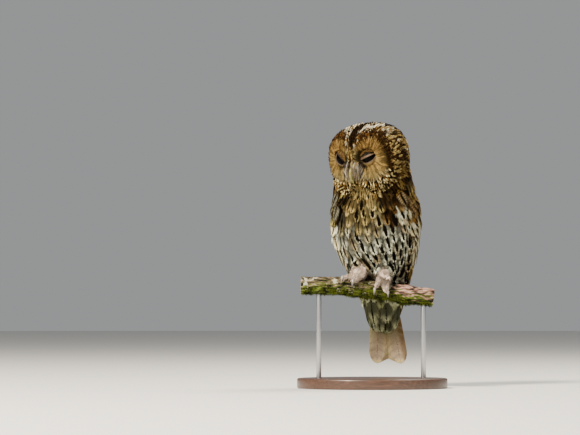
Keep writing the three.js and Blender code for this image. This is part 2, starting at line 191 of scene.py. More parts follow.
def feather_material(name, barred=False):
    """Contour feather: matt keratin barbs, softer than any moulded surface, dark along the shaft.

    The vane attribute is (across from -1 to 1, along from 0 to 1, a random number of the feather).
    ground is the feather's colour with the streak's width in alpha; mark is the dark colour with
    the crossbars' strength in alpha.
    """
    made, tree, surface = material(name, Roughness=0.8, IOR=1.4, Specular_IOR_Level=0.04)
    vane, ground, mark = (add(tree, "Attribute", attribute_name=which) for which in ("vane", "ground", "mark"))
    across, along, chance = add(tree, "SeparateXYZ", {0: vane.outputs["Vector"]}).outputs
    side = add(tree, "Math", {0: across}, operation="ABSOLUTE")
    # Ragged edges on the marks: the barbs carry the pigment outwards by uneven lengths.
    where = add(tree, "TexCoord").outputs["Object"]
    rough = add(tree, "TexNoise", {"Vector": where, "Scale": 420.0, "Detail": 2.0})
    ragged = add(tree, "Math", {0: rough, 1: 0.5}, operation="SUBTRACT")
    edge = add(tree, "Math", {0: ragged, 1: 0.5, 2: side}, operation="MULTIPLY_ADD")
    # The shaft streak swells towards the tip and ends in a point before it, unlike from feather to feather.
    width = add(tree, "MapRange", {0: along, 1: 0.3, 2: 0.7}, interpolation_type="SMOOTHSTEP")
    tip = add(tree, "MapRange", {0: along, 1: 1.0, 2: 0.84}, interpolation_type="SMOOTHSTEP")
    luck = add(tree, "MapRange", {0: chance, 3: 0.5, 4: 1.5})
    for share in (ground.outputs["Alpha"], tip, luck):
        width = add(tree, "Math", {0: width, 1: share}, operation="MULTIPLY")
    inside = add(tree, "Math", {0: width, 1: edge}, operation="SUBTRACT")
    streak = add(tree, "MapRange", {0: inside, 1: -0.06, 2: 0.06}, interpolation_type="SMOOTHSTEP")
    # Crossbars lean towards the tip as they leave the shaft.
    lean, uneven, count, low, high = (-0.05, 0.03, 11.0, 0.24, 0.36) if barred else (-0.09, 0.07, 5.5, 0.32, 0.42)
    turn = along
    for value, factor in ((side, lean), (ragged, uneven)):
        turn = add(tree, "Math", {0: value, 1: factor, 2: turn}, operation="MULTIPLY_ADD")
    turn = add(tree, "Math", {0: turn, 1: count, 2: chance}, operation="MULTIPLY_ADD")
    wave = add(tree, "Math", {0: turn}, operation="FRACT")
    wave = add(tree, "Math", {0: wave, 1: 0.5}, operation="PINGPONG")
    bars = add(tree, "MapRange", {0: wave, 1: low, 2: high}, interpolation_type="SMOOTHSTEP")
    bars = add(tree, "Math", {0: bars, 1: mark.outputs["Alpha"]}, operation="MULTIPLY")
    dark = add(tree, "Math", {0: streak, 1: bars}, operation="MAXIMUM")
    # Barbs as fine slanting lines, about 0.4 mm apart, drawn coarser than life so that they show.
    slant = add(tree, "Math", {0: side, 1: -0.45, 2: along}, operation="MULTIPLY_ADD")
    lines = add(tree, "Math", {0: slant, 1: 260.0}, operation="MULTIPLY")
    lines = add(tree, "Math", {0: lines}, operation="SINE")
    shade = add(tree, "MapRange", {0: lines, 1: -1.0, 2: 1.0, 3: 0.9, 4: 1.08})
    cloud = add(tree, "MapRange", {0: rough, 1: 0.3, 2: 0.7, 3: 0.84, 4: 1.12})
    shade = add(tree, "Math", {0: shade, 1: cloud}, operation="MULTIPLY")
    mixed = add(tree, "Mix", {"Factor": dark, 6: ground, 7: mark}, data_type="RGBA")
    toned = add(tree, "VectorMath", {0: mixed, "Scale": shade}, operation="SCALE")
    bump = add(tree, "Bump", {"Height": lines, "Strength": 0.25, "Distance": 0.00015})
    link(surface, {"Base Color": toned, "Normal": bump})
    return made


def skin_material():
    """Down-covered skin: the coat's own markings, matt and darkened as painted shade under the feathers, as seen
    between them.
    """
    made, tree, surface = material("down over skin", Roughness=0.9, IOR=1.45, Specular_IOR_Level=0.04)
    ground = add(tree, "Attribute", attribute_name="ground")
    where = add(tree, "TexCoord").outputs["Object"]
    long = add(tree, "Mapping", {"Vector": where, "Scale": (1.0, 1.0, 0.3)})
    tufts = add(tree, "TexNoise", {"Vector": long, "Scale": 500.0, "Detail": 4.0})
    # Painted shade under the coat: the markings fall to between a quarter and three fifths, unevenly from tuft to
    # tuft.
    shade = add(tree, "MapRange", {0: tufts, 1: 0.3, 2: 0.7, 3: 0.25, 4: 0.6})
    toned = add(tree, "VectorMath", {0: ground, "Scale": shade}, operation="SCALE")
    bump = add(tree, "Bump", {"Height": tufts, "Strength": 0.6, "Distance": 0.0008})
    link(surface, {"Base Color": toned, "Normal": bump})
    return made


def lid_material():
    """Bare lid skin: thin, pinkish and finely creased, with a soft shine."""
    made, tree, surface = material(
        "bare lid skin", Roughness=0.5, IOR=1.4, Subsurface_Weight=0.1, Subsurface_Radius=(0.004, 0.002, 0.001)
    )
    where = add(tree, "TexCoord").outputs["Object"]
    crease = add(tree, "TexNoise", {"Vector": where, "Scale": 900.0, "Detail": 3.0})
    ground = add(tree, "Attribute", attribute_name="ground")
    shade = add(tree, "MapRange", {0: crease, 1: 0.3, 2: 0.7, 3: 0.7, 4: 1.2})
    toned = add(tree, "VectorMath", {0: ground, "Scale": shade}, operation="SCALE")
    bump = add(tree, "Bump", {"Height": crease, "Strength": 0.4, "Distance": 0.0002})
    link(surface, {"Base Color": toned, "Normal": bump})
    return made


def eye_material():
    """Wet eye: a dark brown iris so deep that it looks black, under a glossy film."""
    made, tree, surface = material("wet dark eye", Roughness=0.06, IOR=1.11)
    where = add(tree, "TexCoord").outputs["Object"]
    fibres = add(tree, "TexNoise", {"Vector": where, "Scale": 900.0, "Detail": 3.0})
    colour = add(tree, "ValToRGB", {0: fibres}, stops=[(0.35, "010000"), (0.7, "060301")])
    link(surface, {"Base Color": colour})
    return made


def horn_material(name, colour, tip, grain):
    """Horn: smooth, faintly streaked along its growth, darker or paler towards the tip."""
    made, tree, surface = material(name, Roughness=0.36, IOR=1.55, Coat_Weight=0.2, Coat_Roughness=0.25)
    along = add(tree, "Attribute", attribute_name="along").outputs["Fac"]
    where = add(tree, "TexCoord").outputs["Object"]
    streaks = add(tree, "TexNoise", {"Vector": where, "Scale": grain, "Detail": 4.0})
    body = add(tree, "ValToRGB", {0: streaks}, stops=[(0.3, colour * 0.72), (0.7, colour * 1.12)])
    share = add(tree, "MapRange", {0: along, 1: 0.55, 2: 1.0}, interpolation_type="SMOOTHSTEP")
    mixed = add(tree, "Mix", {"Factor": share, 6: body, 7: (*tip, 1.0)}, data_type="RGBA")
    bump = add(tree, "Bump", {"Height": streaks, "Strength": 0.25, "Distance": 0.0002})
    link(surface, {"Base Color": mixed, "Normal": bump})
    return made


def bark_material():
    """Old bark: matt, cracked along the branch, pinkish grey above, mossy underneath, worn to bare wood
    towards the right end."""
    made, tree, surface = material("mossy bark", Roughness=0.88, IOR=1.5, Specular_IOR_Level=0.2)
    where = add(tree, "TexCoord").outputs["Object"]
    long = add(tree, "Mapping", {"Vector": where, "Scale": (0.3, 1.0, 1.0)})
    grain = add(tree, "TexNoise", {"Vector": long, "Scale": 260.0, "Detail": 6.0})
    patches = add(tree, "TexNoise", {"Vector": where, "Scale": 90.0, "Detail": 4.0})
    bark, moss = tone("bark"), tone("moss")
    barked, wood, green = (
        add(tree, "ValToRGB", {0: grain}, stops=stops)
        for stops in (
            [(0.4, bark * 0.06), (0.48, bark * 0.5), (0.58, bark * 1.2), (0.7, rgb("bca48e"))],
            [(0.4, "1c120d"), (0.48, "6e5244"), (0.62, "a98a78")],
            [(0.4, moss * 0.05), (0.5, moss * 0.5), (0.66, moss * 1.4)],
        )
    )
    lichen = add(tree, "MapRange", {0: patches, 1: 0.6, 2: 0.64})
    normal = add(tree, "NewGeometry").outputs["Normal"]
    facing = add(tree, "SeparateXYZ", {0: normal}).outputs["Z"]
    # Bare, pinkish wood where the bark has come away.
    reach = add(tree, "SeparateXYZ", {0: where})
    ragged = add(tree, "Math", {0: patches, 1: 0.05, 2: reach}, operation="MULTIPLY_ADD")
    bare = add(tree, "MapRange", {0: ragged, 1: 0.057, 2: 0.064})
    above = add(tree, "MapRange", {0: facing, 1: -0.45, 2: -0.2})
    bare = add(tree, "Math", {0: bare, 1: above}, operation="MULTIPLY")
    # Moss creeps up from the underside, more here and less there.
    uneven = add(tree, "Math", {0: patches, 1: 1.8, 2: facing}, operation="MULTIPLY_ADD")
    mossy = add(tree, "MapRange", {0: uneven, 1: 1.0, 2: 0.75})
    colour = barked
    for share, over in ((lichen, linear("a3a28c")), (bare, wood), (mossy, green)):
        colour = add(tree, "Mix", {"Factor": share, 6: colour, 7: over}, data_type="RGBA")
    bump = add(tree, "Bump", {"Height": grain, "Strength": 0.9, "Distance": 0.0015})
    link(surface, {"Base Color": colour, "Normal": bump})
    return made


def cut_wood_material():
    """Sawn wood: pale, with growth rings round the branch's middle and a rough cut face."""
    made, tree, surface = material("sawn branch end", Roughness=0.8, IOR=1.5)
    where = add(tree, "TexCoord").outputs["Object"]
    # The branch's axis, turned and moved onto the X axis.
    level = (0.0, math.radians(-5.2), math.radians(-2.7))
    centred = add(tree, "Mapping", {"Vector": where, "Location": (0.0, 0.0129, -0.1502), "Rotation": level})
    waves = {"Vector": centred, "Scale": 170.0, "Distortion": 1.5, "Detail": 2.0}
    rings = add(tree, "TexWave", waves, wave_type="RINGS", rings_direction="X").outputs["Fac"]
    colour = add(tree, "ValToRGB", {0: rings}, stops=[(0.2, "9a7c58"), (0.8, "cbb289")])
    bump = add(tree, "Bump", {"Height": rings, "Strength": 0.3, "Distance": 0.0003})
    link(surface, {"Base Color": colour, "Normal": bump})
    return made


def board_material():
    """Stained beech under satin lacquer: fine straight grain along the board, a soft clear gloss."""
    made, tree, surface = material(
        "stained lacquered beech", Roughness=0.45, IOR=1.5, Coat_Weight=0.4, Coat_Roughness=0.2
    )
    where = add(tree, "TexCoord").outputs["Object"]
    long = add(tree, "Mapping", {"Vector": where, "Scale": (0.06, 1.0, 1.0)})
    grain = add(tree, "TexNoise", {"Vector": long, "Scale": 420.0, "Detail": 5.0})
    board = tone("board")
    colour = add(tree, "ValToRGB", {0: grain}, stops=[(0.35, board * 0.6), (0.55, board), (0.7, board * 1.5)])
    bump = add(tree, "Bump", {"Height": grain, "Strength": 0.15, "Distance": 0.0002})
    link(surface, {"Base Color": colour, "Normal": bump})
    return made


def steel_material():
    """Brushed stainless steel: fine scratches round the rod that spread its highlight."""
    made, tree, surface = material("brushed stainless steel", Metallic=1.0, Base_Color=linear("b9bbbd"))
    where = add(tree, "TexCoord").outputs["Object"]
    long = add(tree, "Mapping", {"Vector": where, "Scale": (0.05, 0.05, 1.0)})
    scratches = add(tree, "TexNoise", {"Vector": long, "Scale": 2500.0, "Detail": 2.0})
    rough = add(tree, "MapRange", {0: scratches, 3: 0.24, 4: 0.42})
    bump = add(tree, "Bump", {"Height": scratches, "Strength": 0.1, "Distance": 0.0001})
    link(surface, {"Roughness": rough, "Normal": bump})
    return made



# ---- Numbers: rows are points, and a column holds one number for each ----


def smoothstep(low, high, x):
    t = np.clip((x - low) / (high - low), 0.0, 1.0)
    return t * t * (3.0 - 2.0 * t)


def mix(a, b, share):
    return a + (b - a) * share


def unit(vectors):
    return vectors / np.maximum(np.linalg.norm(vectors, axis=-1, keepdims=True), 1e-9)


def rows(*parts):
    """Rows made of columns, where a number stands for the same in each row."""
    count = max(len(part) for part in parts if np.ndim(part))
    widths = [np.shape(part)[-1] if np.ndim(part) else 1 for part in parts]
    return np.concatenate([np.broadcast_to(part, (count, wide)) for part, wide in zip(parts, widths)], -1)


def into(matrix, points):
    """Row-frame points in the frame that matrix places."""
    back = np.array(matrix.inverted())
    return points @ back[:3, :3].T + back[:3, 3]


def out_of(matrix, points):
    placed = np.array(matrix)
    return points @ placed[:3, :3].T + placed[:3, 3]


def turned(matrix, vectors):
    return vectors @ np.array(matrix)[:3, :3].T


def speckle(points, size, seed=0.0):
    """Smooth noise from 0 to 1 at each point, as a column, with lumps about size across."""
    return np.array([[0.5 + 0.5 * noise.noise(Vector(p) / size + Vector((seed, 0.0, 0.0)))] for p in points])


def with_last(colour, last, shape):
    """Colours over a whole shape, with a fourth number: a streak's width or the bars' strength."""
    last = np.broadcast_to(last, shape)[..., None]
    return np.concatenate([np.broadcast_to(colour, shape + (3,)), last], -1)


def shaded(colour, shade):
    """Colours times a shade, leaving their fourth number alone."""
    return colour * np.concatenate([np.repeat(shade, 3, -1), np.ones_like(shade)], -1)


def gathered(items, name, width, kind=float):
    """A setting of every item, as rows."""
    values = np.empty(len(items) * width, kind)
    items.foreach_get(name, values)
    return values.reshape(-1, width)


# ---- Meshes ----


def object_from(mesh_or_bm, name, slot, *materials):
    """Links a finished, smooth mesh as a piece that rides on the frame's one body."""
    mesh = mesh_or_bm
    if isinstance(mesh_or_bm, bmesh.types.BMesh):
        mesh = bpy.data.meshes.new(name)
        mesh_or_bm.to_mesh(mesh)
        mesh_or_bm.free()
    mesh.name = name
    piece = bpy.data.objects.new(name, mesh)
    bpy.context.scene.collection.objects.link(piece)
    for made in materials:
        mesh.materials.append(made)
    if slot:
        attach(piece, "root")
        smooth_faces(mesh)
    return piece


def smooth_faces(mesh):
    mesh.polygons.foreach_set("use_smooth", np.ones(len(mesh.polygons), bool))


def apply_modifiers(piece):
    """Bakes the piece's modifiers into its mesh."""
    depsgraph = bpy.context.evaluated_depsgraph_get()
    mesh = bpy.data.meshes.new_from_object(piece.evaluated_get(depsgraph))
    piece.modifiers.clear()
    piece.data = mesh


def merged_nodes(names):
    """A bmesh with merged copies of CAD nodes."""
    bm = bmesh.new()
    for name in names:
        bm.from_mesh(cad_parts[name].data)
    bmesh.ops.remove_doubles(bm, verts=bm.verts, dist=1e-6)
    return bm


def close(bm):
    """Joins a rolled grid's seam, closes its ends and turns its faces outwards."""
    bmesh.ops.remove_doubles(bm, verts=bm.verts, dist=1e-6)
    bmesh.ops.holes_fill(bm, edges=[e for e in bm.edges if e.is_boundary])
    bmesh.ops.recalc_face_normals(bm, faces=bm.faces)


def round_rims(bm, rims, offset, segments):
    bmesh.ops.bevel(bm, geom=rims, affect="EDGES", offset=offset, segments=segments, profile=0.5, material=-1)


def unwrap(piece):
    """Unwraps the piece's own shape on the map that the coat's patches follow too."""
    piece.data.uv_layers.new(name="OFBake")
    bpy.context.view_layer.objects.active = piece
    piece.select_set(True)
    bpy.ops.object.mode_set(mode="EDIT")
    bpy.ops.mesh.select_all(action="SELECT")
    bpy.ops.uv.smart_project(angle_limit=math.radians(66), island_margin=0.002)
    bpy.ops.object.mode_set(mode="OBJECT")
    piece.select_set(False)


def set_attribute(mesh, name, kind, values):
    layer = mesh.attributes.new(name, kind, "POINT")
    layer.data.foreach_set("color" if kind == "FLOAT_COLOR" else "vector", values.astype(np.float32).ravel())


class Parts:
    """The nodes of flesh as one surface that says which kind of part a point belongs to."""

    def __init__(self):
        self.kinds = []
        verts, faces = [], []
        for name in FLESH:
            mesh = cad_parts[name].data
            start = len(verts)
            verts.extend(v.co.copy() for v in mesh.vertices)
            for polygon in mesh.polygons:
                faces.append([start + i for i in polygon.vertices])
                self.kinds.append(name.replace("_left", "").replace("_right", ""))
        self.tree = BVHTree.FromPolygons(verts, faces)

    def kinds_at(self, points):
        return np.array([self.kinds[self.tree.find_nearest(Vector(p))[2]] for p in points])


kinds_at = Parts().kinds_at


class Skin:
    """A finished piece as a surface that feathers are rooted on and lie along."""

    def __init__(self, name):
        mesh = bpy.data.objects[name].data
        mesh.calc_loop_triangles()
        self.points = gathered(mesh.vertices, "co", 3)
        self.normals = gathered(mesh.vertices, "normal", 3)
        self.faces = gathered(mesh.loop_triangles, "vertices", 3, np.int32)
        self.uv = gathered(mesh.uv_layers["OFBake"].data, "uv", 2)[gathered(mesh.loop_triangles, "loops", 3, np.int32)]
        self.tree = BVHTree.FromPolygons([Vector(p) for p in self.points], self.faces.tolist())

    def shares(self, place, face):
        """Barycentric shares of a place on a face."""
        a, b, c = self.points[self.faces[face]]
        v0, v1, v2 = b - a, c - a, np.array(place) - a
        d00, d01, d11, d20, d21 = v0 @ v0, v0 @ v1, v1 @ v1, v2 @ v0, v2 @ v1
        below = max(d00 * d11 - d01 * d01, 1e-20)
        v, w = (d11 * d20 - d01 * d21) / below, (d00 * d21 - d01 * d20) / below
        return np.clip([1.0 - v - w, v, w], 0.0, 1.0)

    def with_normal(self, place, face):
        """A place on a face and the smooth normal there."""
        return np.array(place), unit(self.shares(place, face) @ self.normals[self.faces[face]])

    def uv_at(self, points):
        found = np.empty((len(points), 2))
        for i, point in enumerate(points):
            place, _, face, _ = self.tree.find_nearest(Vector(point))
            found[i] = self.shares(place, face) @ self.uv[face]
        return found

    def behind(self, point):
        """The first place on the skin straight behind a point before the face, or None."""
        return self.tree.ray_cast(HEAD @ point, HEAD.to_3x3() @ Vector((0.0, 1.0, 0.0)))[0]

    def beam(self, angle, height, sign):
        """The place on the skin at an angle round the body, from its side (0) to its back (90), at a height
        in mm, and its normal."""
        turn = math.radians(angle)
        axis = float(np.interp(height, *BODY_AXIS))
        away = Vector((sign * math.cos(turn), math.sin(turn), 0.0))
        start = STANCE @ (Vector((0.0, axis, height)) * MM + away * 0.2)
        place, _, face, _ = self.tree.ray_cast(start, -(STANCE.to_3x3() @ away))
        if place is None:
            raise RuntimeError(f"nothing at {angle} degrees and {height} mm")
        return self.with_normal(place, face)

    def track(self, sign, root, tip, steps=12, bow=0.0):
        """A line over the skin from a root to a tip, each (angle, height), and its normals."""
        found = [
            self.beam(mix(root[0], tip[0], u) + bow * 4 * u * (1 - u), mix(root[1], tip[1], u), sign)
            for u in np.linspace(0.0, 1.0, steps + 1)
        ]
        line, normals = (np.array(values) for values in zip(*found))
        for _ in range(3):
            line[1:-1] = (line[:-2] + 2 * line[1:-1] + line[2:]) / 4
            normals[1:-1] = unit(normals[:-2] + 2 * normals[1:-1] + normals[2:])
        return line, normals

    def scatter(self, rng, wanted, spacing):
        """Roots over the faces that wanted(centres) keeps, no nearer each other than spacing(points)."""
        corners = self.points[self.faces]
        centres = corners.mean(1)
        keep = np.flatnonzero(wanted(centres))
        corners = corners[keep]
        area = np.linalg.norm(np.cross(corners[:, 1] - corners[:, 0], corners[:, 2] - corners[:, 0]), axis=1) / 2
        gaps = spacing(centres[keep])
        odds = area / gaps**2
        picks = rng.choice(len(keep), size=int(odds.sum() * 8) + 8, p=odds / odds.sum())
        u, v = rng.random((2, len(picks)))
        flip = u + v > 1
        u[flip], v[flip] = 1 - u[flip], 1 - v[flip]
        c = corners[picks]
        points = c[:, 0] + u[:, None] * (c[:, 1] - c[:, 0]) + v[:, None] * (c[:, 2] - c[:, 0])
        gaps = gaps[picks]
        cell = gaps.max()
        around = [(x, y, z) for x in (-1, 0, 1) for y in (-1, 0, 1) for z in (-1, 0, 1)]
        grid, kept = {}, []
        for i, (point, gap) in enumerate(zip(points, gaps)):
            key = tuple((point // cell).astype(int))
            near = [j for step in around for j in grid.get(tuple(a + b for a, b in zip(key, step)), ())]
            if near and (np.linalg.norm(points[near] - point, axis=1) < gap).any():
                continue
            grid.setdefault(key, []).append(i)
            kept.append(i)
        return points[kept]

    def follow(self, roots, lie, length, steps=6):
        """Lines of `steps` stretches over the skin from each root, along lie(points)."""
        lines = np.empty((len(roots), steps + 1, 3))
        normals = np.empty_like(lines)
        here = np.array(roots)
        facing = np.empty_like(here)
        for k in range(steps + 1):
            for i, point in enumerate(here):
                place, _, face, _ = self.tree.find_nearest(Vector(point))
                here[i], facing[i] = self.with_normal(place, face)
            lines[:, k], normals[:, k] = here, facing
            along = lie(here)
            along = unit(along - facing * (along * facing).sum(1, keepdims=True))
            if k:
                along = unit(along + before)
            before = along
            here = here + along * (length / steps)[:, None]
        return lines, normals


# ---- Feathers ----


def half_width(along, slim, straight, shoulder, tip, spare=0.0):
    """A feather's half width along its length, from 0 to 1: slim at the root, widest from `straight` to
    `shoulder`, and then a round tip."""
    body = mix(slim, 1.0, smoothstep(0.0, straight, along))
    return body * np.sqrt(np.clip(1.0 - (np.clip(along - shoulder, 0.0, 1.0) / tip) ** 2, 0.0, 1.0) + spare)


# One barb is a slim three-sided tube: rings of left, right and top at its root and middle, then its point.
BARB_FACES = np.array([
    (0, 1, 4), (0, 4, 3), (0, 3, 5), (0, 5, 2), (1, 2, 5), (1, 5, 4), (3, 4, 6), (3, 6, 5), (4, 5, 6), (0, 2, 1),
])
BARB_PATCH = np.array([(-1, -1), (1, -1), (0, -1), (-1, 0), (1, 0), (0, 0), (0, 1)]) * 0.0015
# A fine barb is the same without its middle, for the smallest feathers.
FINE_FACES = np.array([(0, 1, 3), (0, 3, 2), (1, 2, 3), (0, 2, 1)])
FINE = [0, 1, 2, 6]


def barb(root, middle, tip, wide, slim, aspect, lift=0.0):
    """A barb's seven points in its feather's plane, across in half widths and along in lengths, and how far
    each stands above the vane, in thicknesses. Its own half widths are in lengths too. A barb with no
    middle has four points."""
    rings = [(root, tip - root, wide)] if middle is None else [(root, middle - root, wide), (middle, tip - root, slim)]
    points, heights = [], []
    for centre, ahead, half in rings:
        ahead = ahead * (1.0, aspect)
        side = np.array([ahead[1], -ahead[0]]) / math.hypot(*ahead) * half * (aspect, 1.0)
        points += [centre + side, centre - side, centre]
        heights += [0.0, 0.0, 1.0]
    return np.array(points + [tip]), np.array(heights + [0.5]) + lift


def pinnate(count, aspect, start=0.26, slant=1.0, fine=False):
    """A contour feather as the points, heights and roots of its barbs: barbs that leave the shaft on both
    sides, and the shaft itself.

    aspect is the feather's length over its half width, and slant draws the barbs towards the tip.
    """
    made, roots = [], []
    gap = (0.9 - start) / (count - 1)
    for k in range(count):
        low = start + gap * k
        high = min(0.99, low + (0.1 + 0.26 * (1.0 - low)) * slant)
        for side in (-1, 1):
            tip = np.array([side * float(half_width(np.array(high), 0.5, 0.62, 0.66, 0.34)), high])
            middle = None if fine else np.array([tip[0] * 0.62, low + (high - low) * 0.42])
            wide = gap * (0.8 if fine else 0.42)
            made.append(barb(np.array([0.0, low]), middle, tip, wide, gap * 0.5, aspect, k % 3 * 0.5))
            roots.append(low)
    root, middle, tip = np.array([0.0, 0.05]), None if fine else np.array([0.0, 0.55]), np.array([0.0, 1.0])
    made.append(barb(root, middle, tip, 0.012, 0.008, aspect, 0.8))
    points, heights = (np.array(values) for values in zip(*made))
    return points, heights, np.array(roots + [0.05])


def bristle(fine=False):
    """One slim tuft, widest before its middle: its width is the feather's own."""
    kept = FINE if fine else slice(None)
    points = np.array([[0.6, 0.0], [-0.6, 0.0], [0.0, 0.0], [0.8, 0.4], [-0.8, 0.4], [0.0, 0.4], [0.0, 1.0]])
    heights = np.array([0.0, 0.0, 1.0, 0.0, 0.0, 1.0, 0.5])
    return points[kept][None], heights[kept][None], np.array([0.0])


class Coat:
    """Feathers gathered as arrays, then made into one mesh."""

    def __init__(self, skin, seed):
        self.skin = skin
        self.rng = np.random.default_rng(seed)
        self.batches = []
        self.count = 0

    def lay(self, lines, normals, length, width, lift, template, paint, camber=0.3):
        """Lays one feather along each line. lift is (root, tip) height over the skin, in metres."""
        rng = self.rng
        points, height, root = template
        feathers, steps = lines.shape[0], lines.shape[1] - 1
        barbs, corners = points.shape[:2]
        share = np.linspace(0.0, 1.0, steps + 1)
        high = lift[0] + (lift[1][:, None] - lift[0]) * share[None] ** 1.1
        high = high * (1.0 + 0.12 * rng.standard_normal((feathers, 1)))
        spine = lines + normals * high[..., None]
        ahead = unit(np.gradient(spine, axis=1))
        side = unit(np.cross(ahead, normals))
        out = np.cross(side, ahead)
        grow = 1.0 + 0.1 * rng.standard_normal((feathers, barbs, 1))
        rng.random((feathers, barbs, 1))  # spare draws, which keep those that follow as they are
        start = np.stack([np.zeros(barbs), root], -1)[None, :, None]
        flat = start + (points[None] - start) * grow[..., None]
        across = flat[..., 0]
        along = np.clip(flat[..., 1], 0.0, 1.04)
        offset = height[None] * BARB_THICKNESS - camber * width[:, None, None] * across**2
        at = np.clip(along, 0.0, 1.0) * steps
        low = np.minimum(at.astype(int), steps - 1)
        part = (at - low)[..., None]
        which = np.arange(feathers)[:, None, None]

        def between(values):
            return values[which, low] * (1.0 - part) + values[which, low + 1] * part

        beyond = (np.maximum(along - 1.0, 0.0) * length[:, None, None])[..., None]
        place = (
            between(spine)
            + between(side) * (across * width[:, None, None])[..., None]
            + between(out) * offset[..., None]
            + between(ahead) * beyond
        )
        chance = rng.random(feathers)
        data = np.stack([across, along, np.broadcast_to(chance[:, None, None], along.shape)], -1)
        ground, mark = paint(which, across, along)
        # Each barb's patch on the bake map lies at its own root's place on the skin.
        feet = np.clip(root[None, :] * steps, 0, steps)
        near = np.minimum(feet.astype(int), steps - 1)
        more = (feet - near)[..., None]
        spots = lines[which[..., 0], near] * (1 - more) + lines[which[..., 0], near + 1] * more
        uv = self.skin.uv_at(spots.reshape(-1, 3)).reshape(feathers, barbs, 1, 2)
        fine = corners == len(FINE)
        base = self.count + np.arange(feathers * barbs)[:, None, None] * corners
        # A barb that its feather's bend has turned inside out is wound the other way.
        wound = FINE_FACES if fine else BARB_FACES
        shells = place.reshape(-1, corners, 3)
        a, b, c = (shells[:, wound[:, i]] - shells[:, :1] for i in range(3))
        inverted = (a * np.cross(b, c)).sum((1, 2)) < 0
        faces = np.where(inverted[:, None, None], wound[:, ::-1], wound)
        patch = BARB_PATCH[FINE] if fine else BARB_PATCH
        self.store(place, (base + faces).reshape(-1, 3), data, ground, mark, uv + patch)

    def store(self, place, faces, *values):
        """Keeps points and faces with their values: vane, ground, mark and place on the bake map."""
        shape = place.shape[:-1]
        rest = [np.broadcast_to(v, shape + (size,)).reshape(-1, size) for v, size in zip(values, (3, 4, 4, 2))]
        self.batches.append((place.reshape(-1, 3), faces, *rest))
        self.count += math.prod(shape)

    def blades(self, spine, normals, width, paint, camber=0.12, reverse=(1.0, 1.0, 1.0)):
        """Lays one whole vane with a raised shaft along each spine, as flight and tail feathers are: a closed
        sheet, whose other side is coloured times reverse."""
        columns, lengths = 9, 20
        feathers, steps = spine.shape[0], spine.shape[1] - 1
        ahead = unit(np.gradient(spine, axis=1))
        side = unit(np.cross(ahead, normals))
        out = np.cross(side, ahead)
        along = 1.0 - np.linspace(1.0, 0.0, lengths) ** 1.8
        flat = np.linspace(-1.0, 1.0, columns)
        across = flat[None] * half_width(along, 0.55, 0.5, 0.84, 0.16, 0.0004)[:, None]
        at = along * steps
        low = np.minimum(at.astype(int), steps - 1)
        part = (at - low)[None, :, None]

        def between(values):
            return (values[:, low] * (1.0 - part) + values[:, low + 1] * part)[:, :, None]

        reach = across[None] * width[:, None, None]
        shaft = 0.0007 * np.exp(-((flat / 0.14) ** 2)) * (1.0 - 0.7 * along[:, None])
        lift = shaft[None] - camber * width[:, None, None] * across[None] ** 2
        place = between(spine) + between(side) * reach[..., None] + between(out) * lift[..., None]
        slim = 0.0004 * (1.0 - 0.6 * np.abs(flat))
        under = place - between(out) * slim[None, None, :, None]
        chance = self.rng.random(feathers)[:, None, None]
        which = np.arange(feathers)[:, None, None]
        data = np.stack(np.broadcast_arrays(across[None], along[None, :, None], chance), -1)
        ground, mark = paint(which, across[None], along[None, :, None])
        home = self.skin.uv_at(spine[:, steps // 2])[:, None, None]
        spread = np.stack(np.broadcast_arrays(flat[None] * 0.006 / 2, (along[:, None] - 0.5) * 0.03), -1)
        # Both sides and the wall between them, round the rim.
        size = lengths * columns
        r, c = np.meshgrid(np.arange(lengths - 1), np.arange(columns - 1), indexing="ij")
        corner = (r * columns + c).ravel()
        top = np.stack([corner, corner + columns, corner + columns + 1, corner + 1], -1)
        rim = np.concatenate([
            np.arange(columns), np.arange(1, lengths) * columns + columns - 1,
            (lengths - 1) * columns + np.arange(columns - 2, -1, -1), np.arange(lengths - 2, 0, -1) * columns,
        ])
        after = np.roll(rim, -1)
        wall = np.stack([rim, after, after + size, rim + size], -1)
        quads = np.concatenate([top[:, ::-1], top + size, wall[:, ::-1]])
        faces = (self.count + which * (2 * size) + quads[None, :, [0, 1, 2, 0, 2, 3]]).reshape(-1, 3)
        ground = np.stack([ground, ground * np.append(reverse, 1.0)], 1)
        uv = (home + spread[None])[:, None]
        self.store(np.stack([place, under], 1), faces, data[:, None], ground, mark[:, None], uv)

    def piece(self, name, slot, made):
        points, faces, data, ground, mark, uv = (np.concatenate(values) for values in zip(*self.batches))
        mesh = bpy.data.meshes.new(name)
        mesh.vertices.add(len(points))
        mesh.vertices.foreach_set("co", points.ravel())
        mesh.loops.add(faces.size)
        mesh.loops.foreach_set("vertex_index", faces.ravel().astype(np.int32))
        mesh.polygons.add(len(faces))
        mesh.polygons.foreach_set("loop_start", np.arange(0, faces.size, 3, dtype=np.int32))
        mesh.update(calc_edges=True)
        set_attribute(mesh, "vane", "FLOAT_VECTOR", data)
        set_attribute(mesh, "ground", "FLOAT_COLOR", ground)
        set_attribute(mesh, "mark", "FLOAT_COLOR", mark)
        layer = mesh.uv_layers.new(name="OFBake")
        layer.data.foreach_set("uv", np.clip(uv, 0.0, 1.0)[faces.ravel()].astype(np.float32).ravel())
        return object_from(mesh, name, slot, made)


def plain(ground, mark, places=(0.0, 1.0), shades=(1.0, 1.0)):
    """Paint for feathers of one colour each, shaded along their length from one place to another."""

    def paint(which, across, along):
        shape = np.broadcast_shapes(which.shape, across.shape) + (4,)
        shade = mix(*shades, smoothstep(*places, along))[..., None]
        return shaded(np.broadcast_to(ground[which], shape), shade), np.broadcast_to(mark, shape)

    return paint


# ---- Markings shared by the skin and the coat ----


def disc_place(h):
    """Where points on the head lie on the facial discs, as columns: distance from the centre in disc radii,
    the angle from the top towards the outer side in radians, and the distance in front from the eye."""
    x, _, z = np.hsplit(h, 3)
    across = (np.abs(x) - DISC.x) / DISC_HALF[0]
    up = (z - DISC.z) / DISC_HALF[1]
    return np.hypot(across, up), np.arctan2(across, up), np.hypot(np.abs(x) - EYE.x, z - EYE.z)


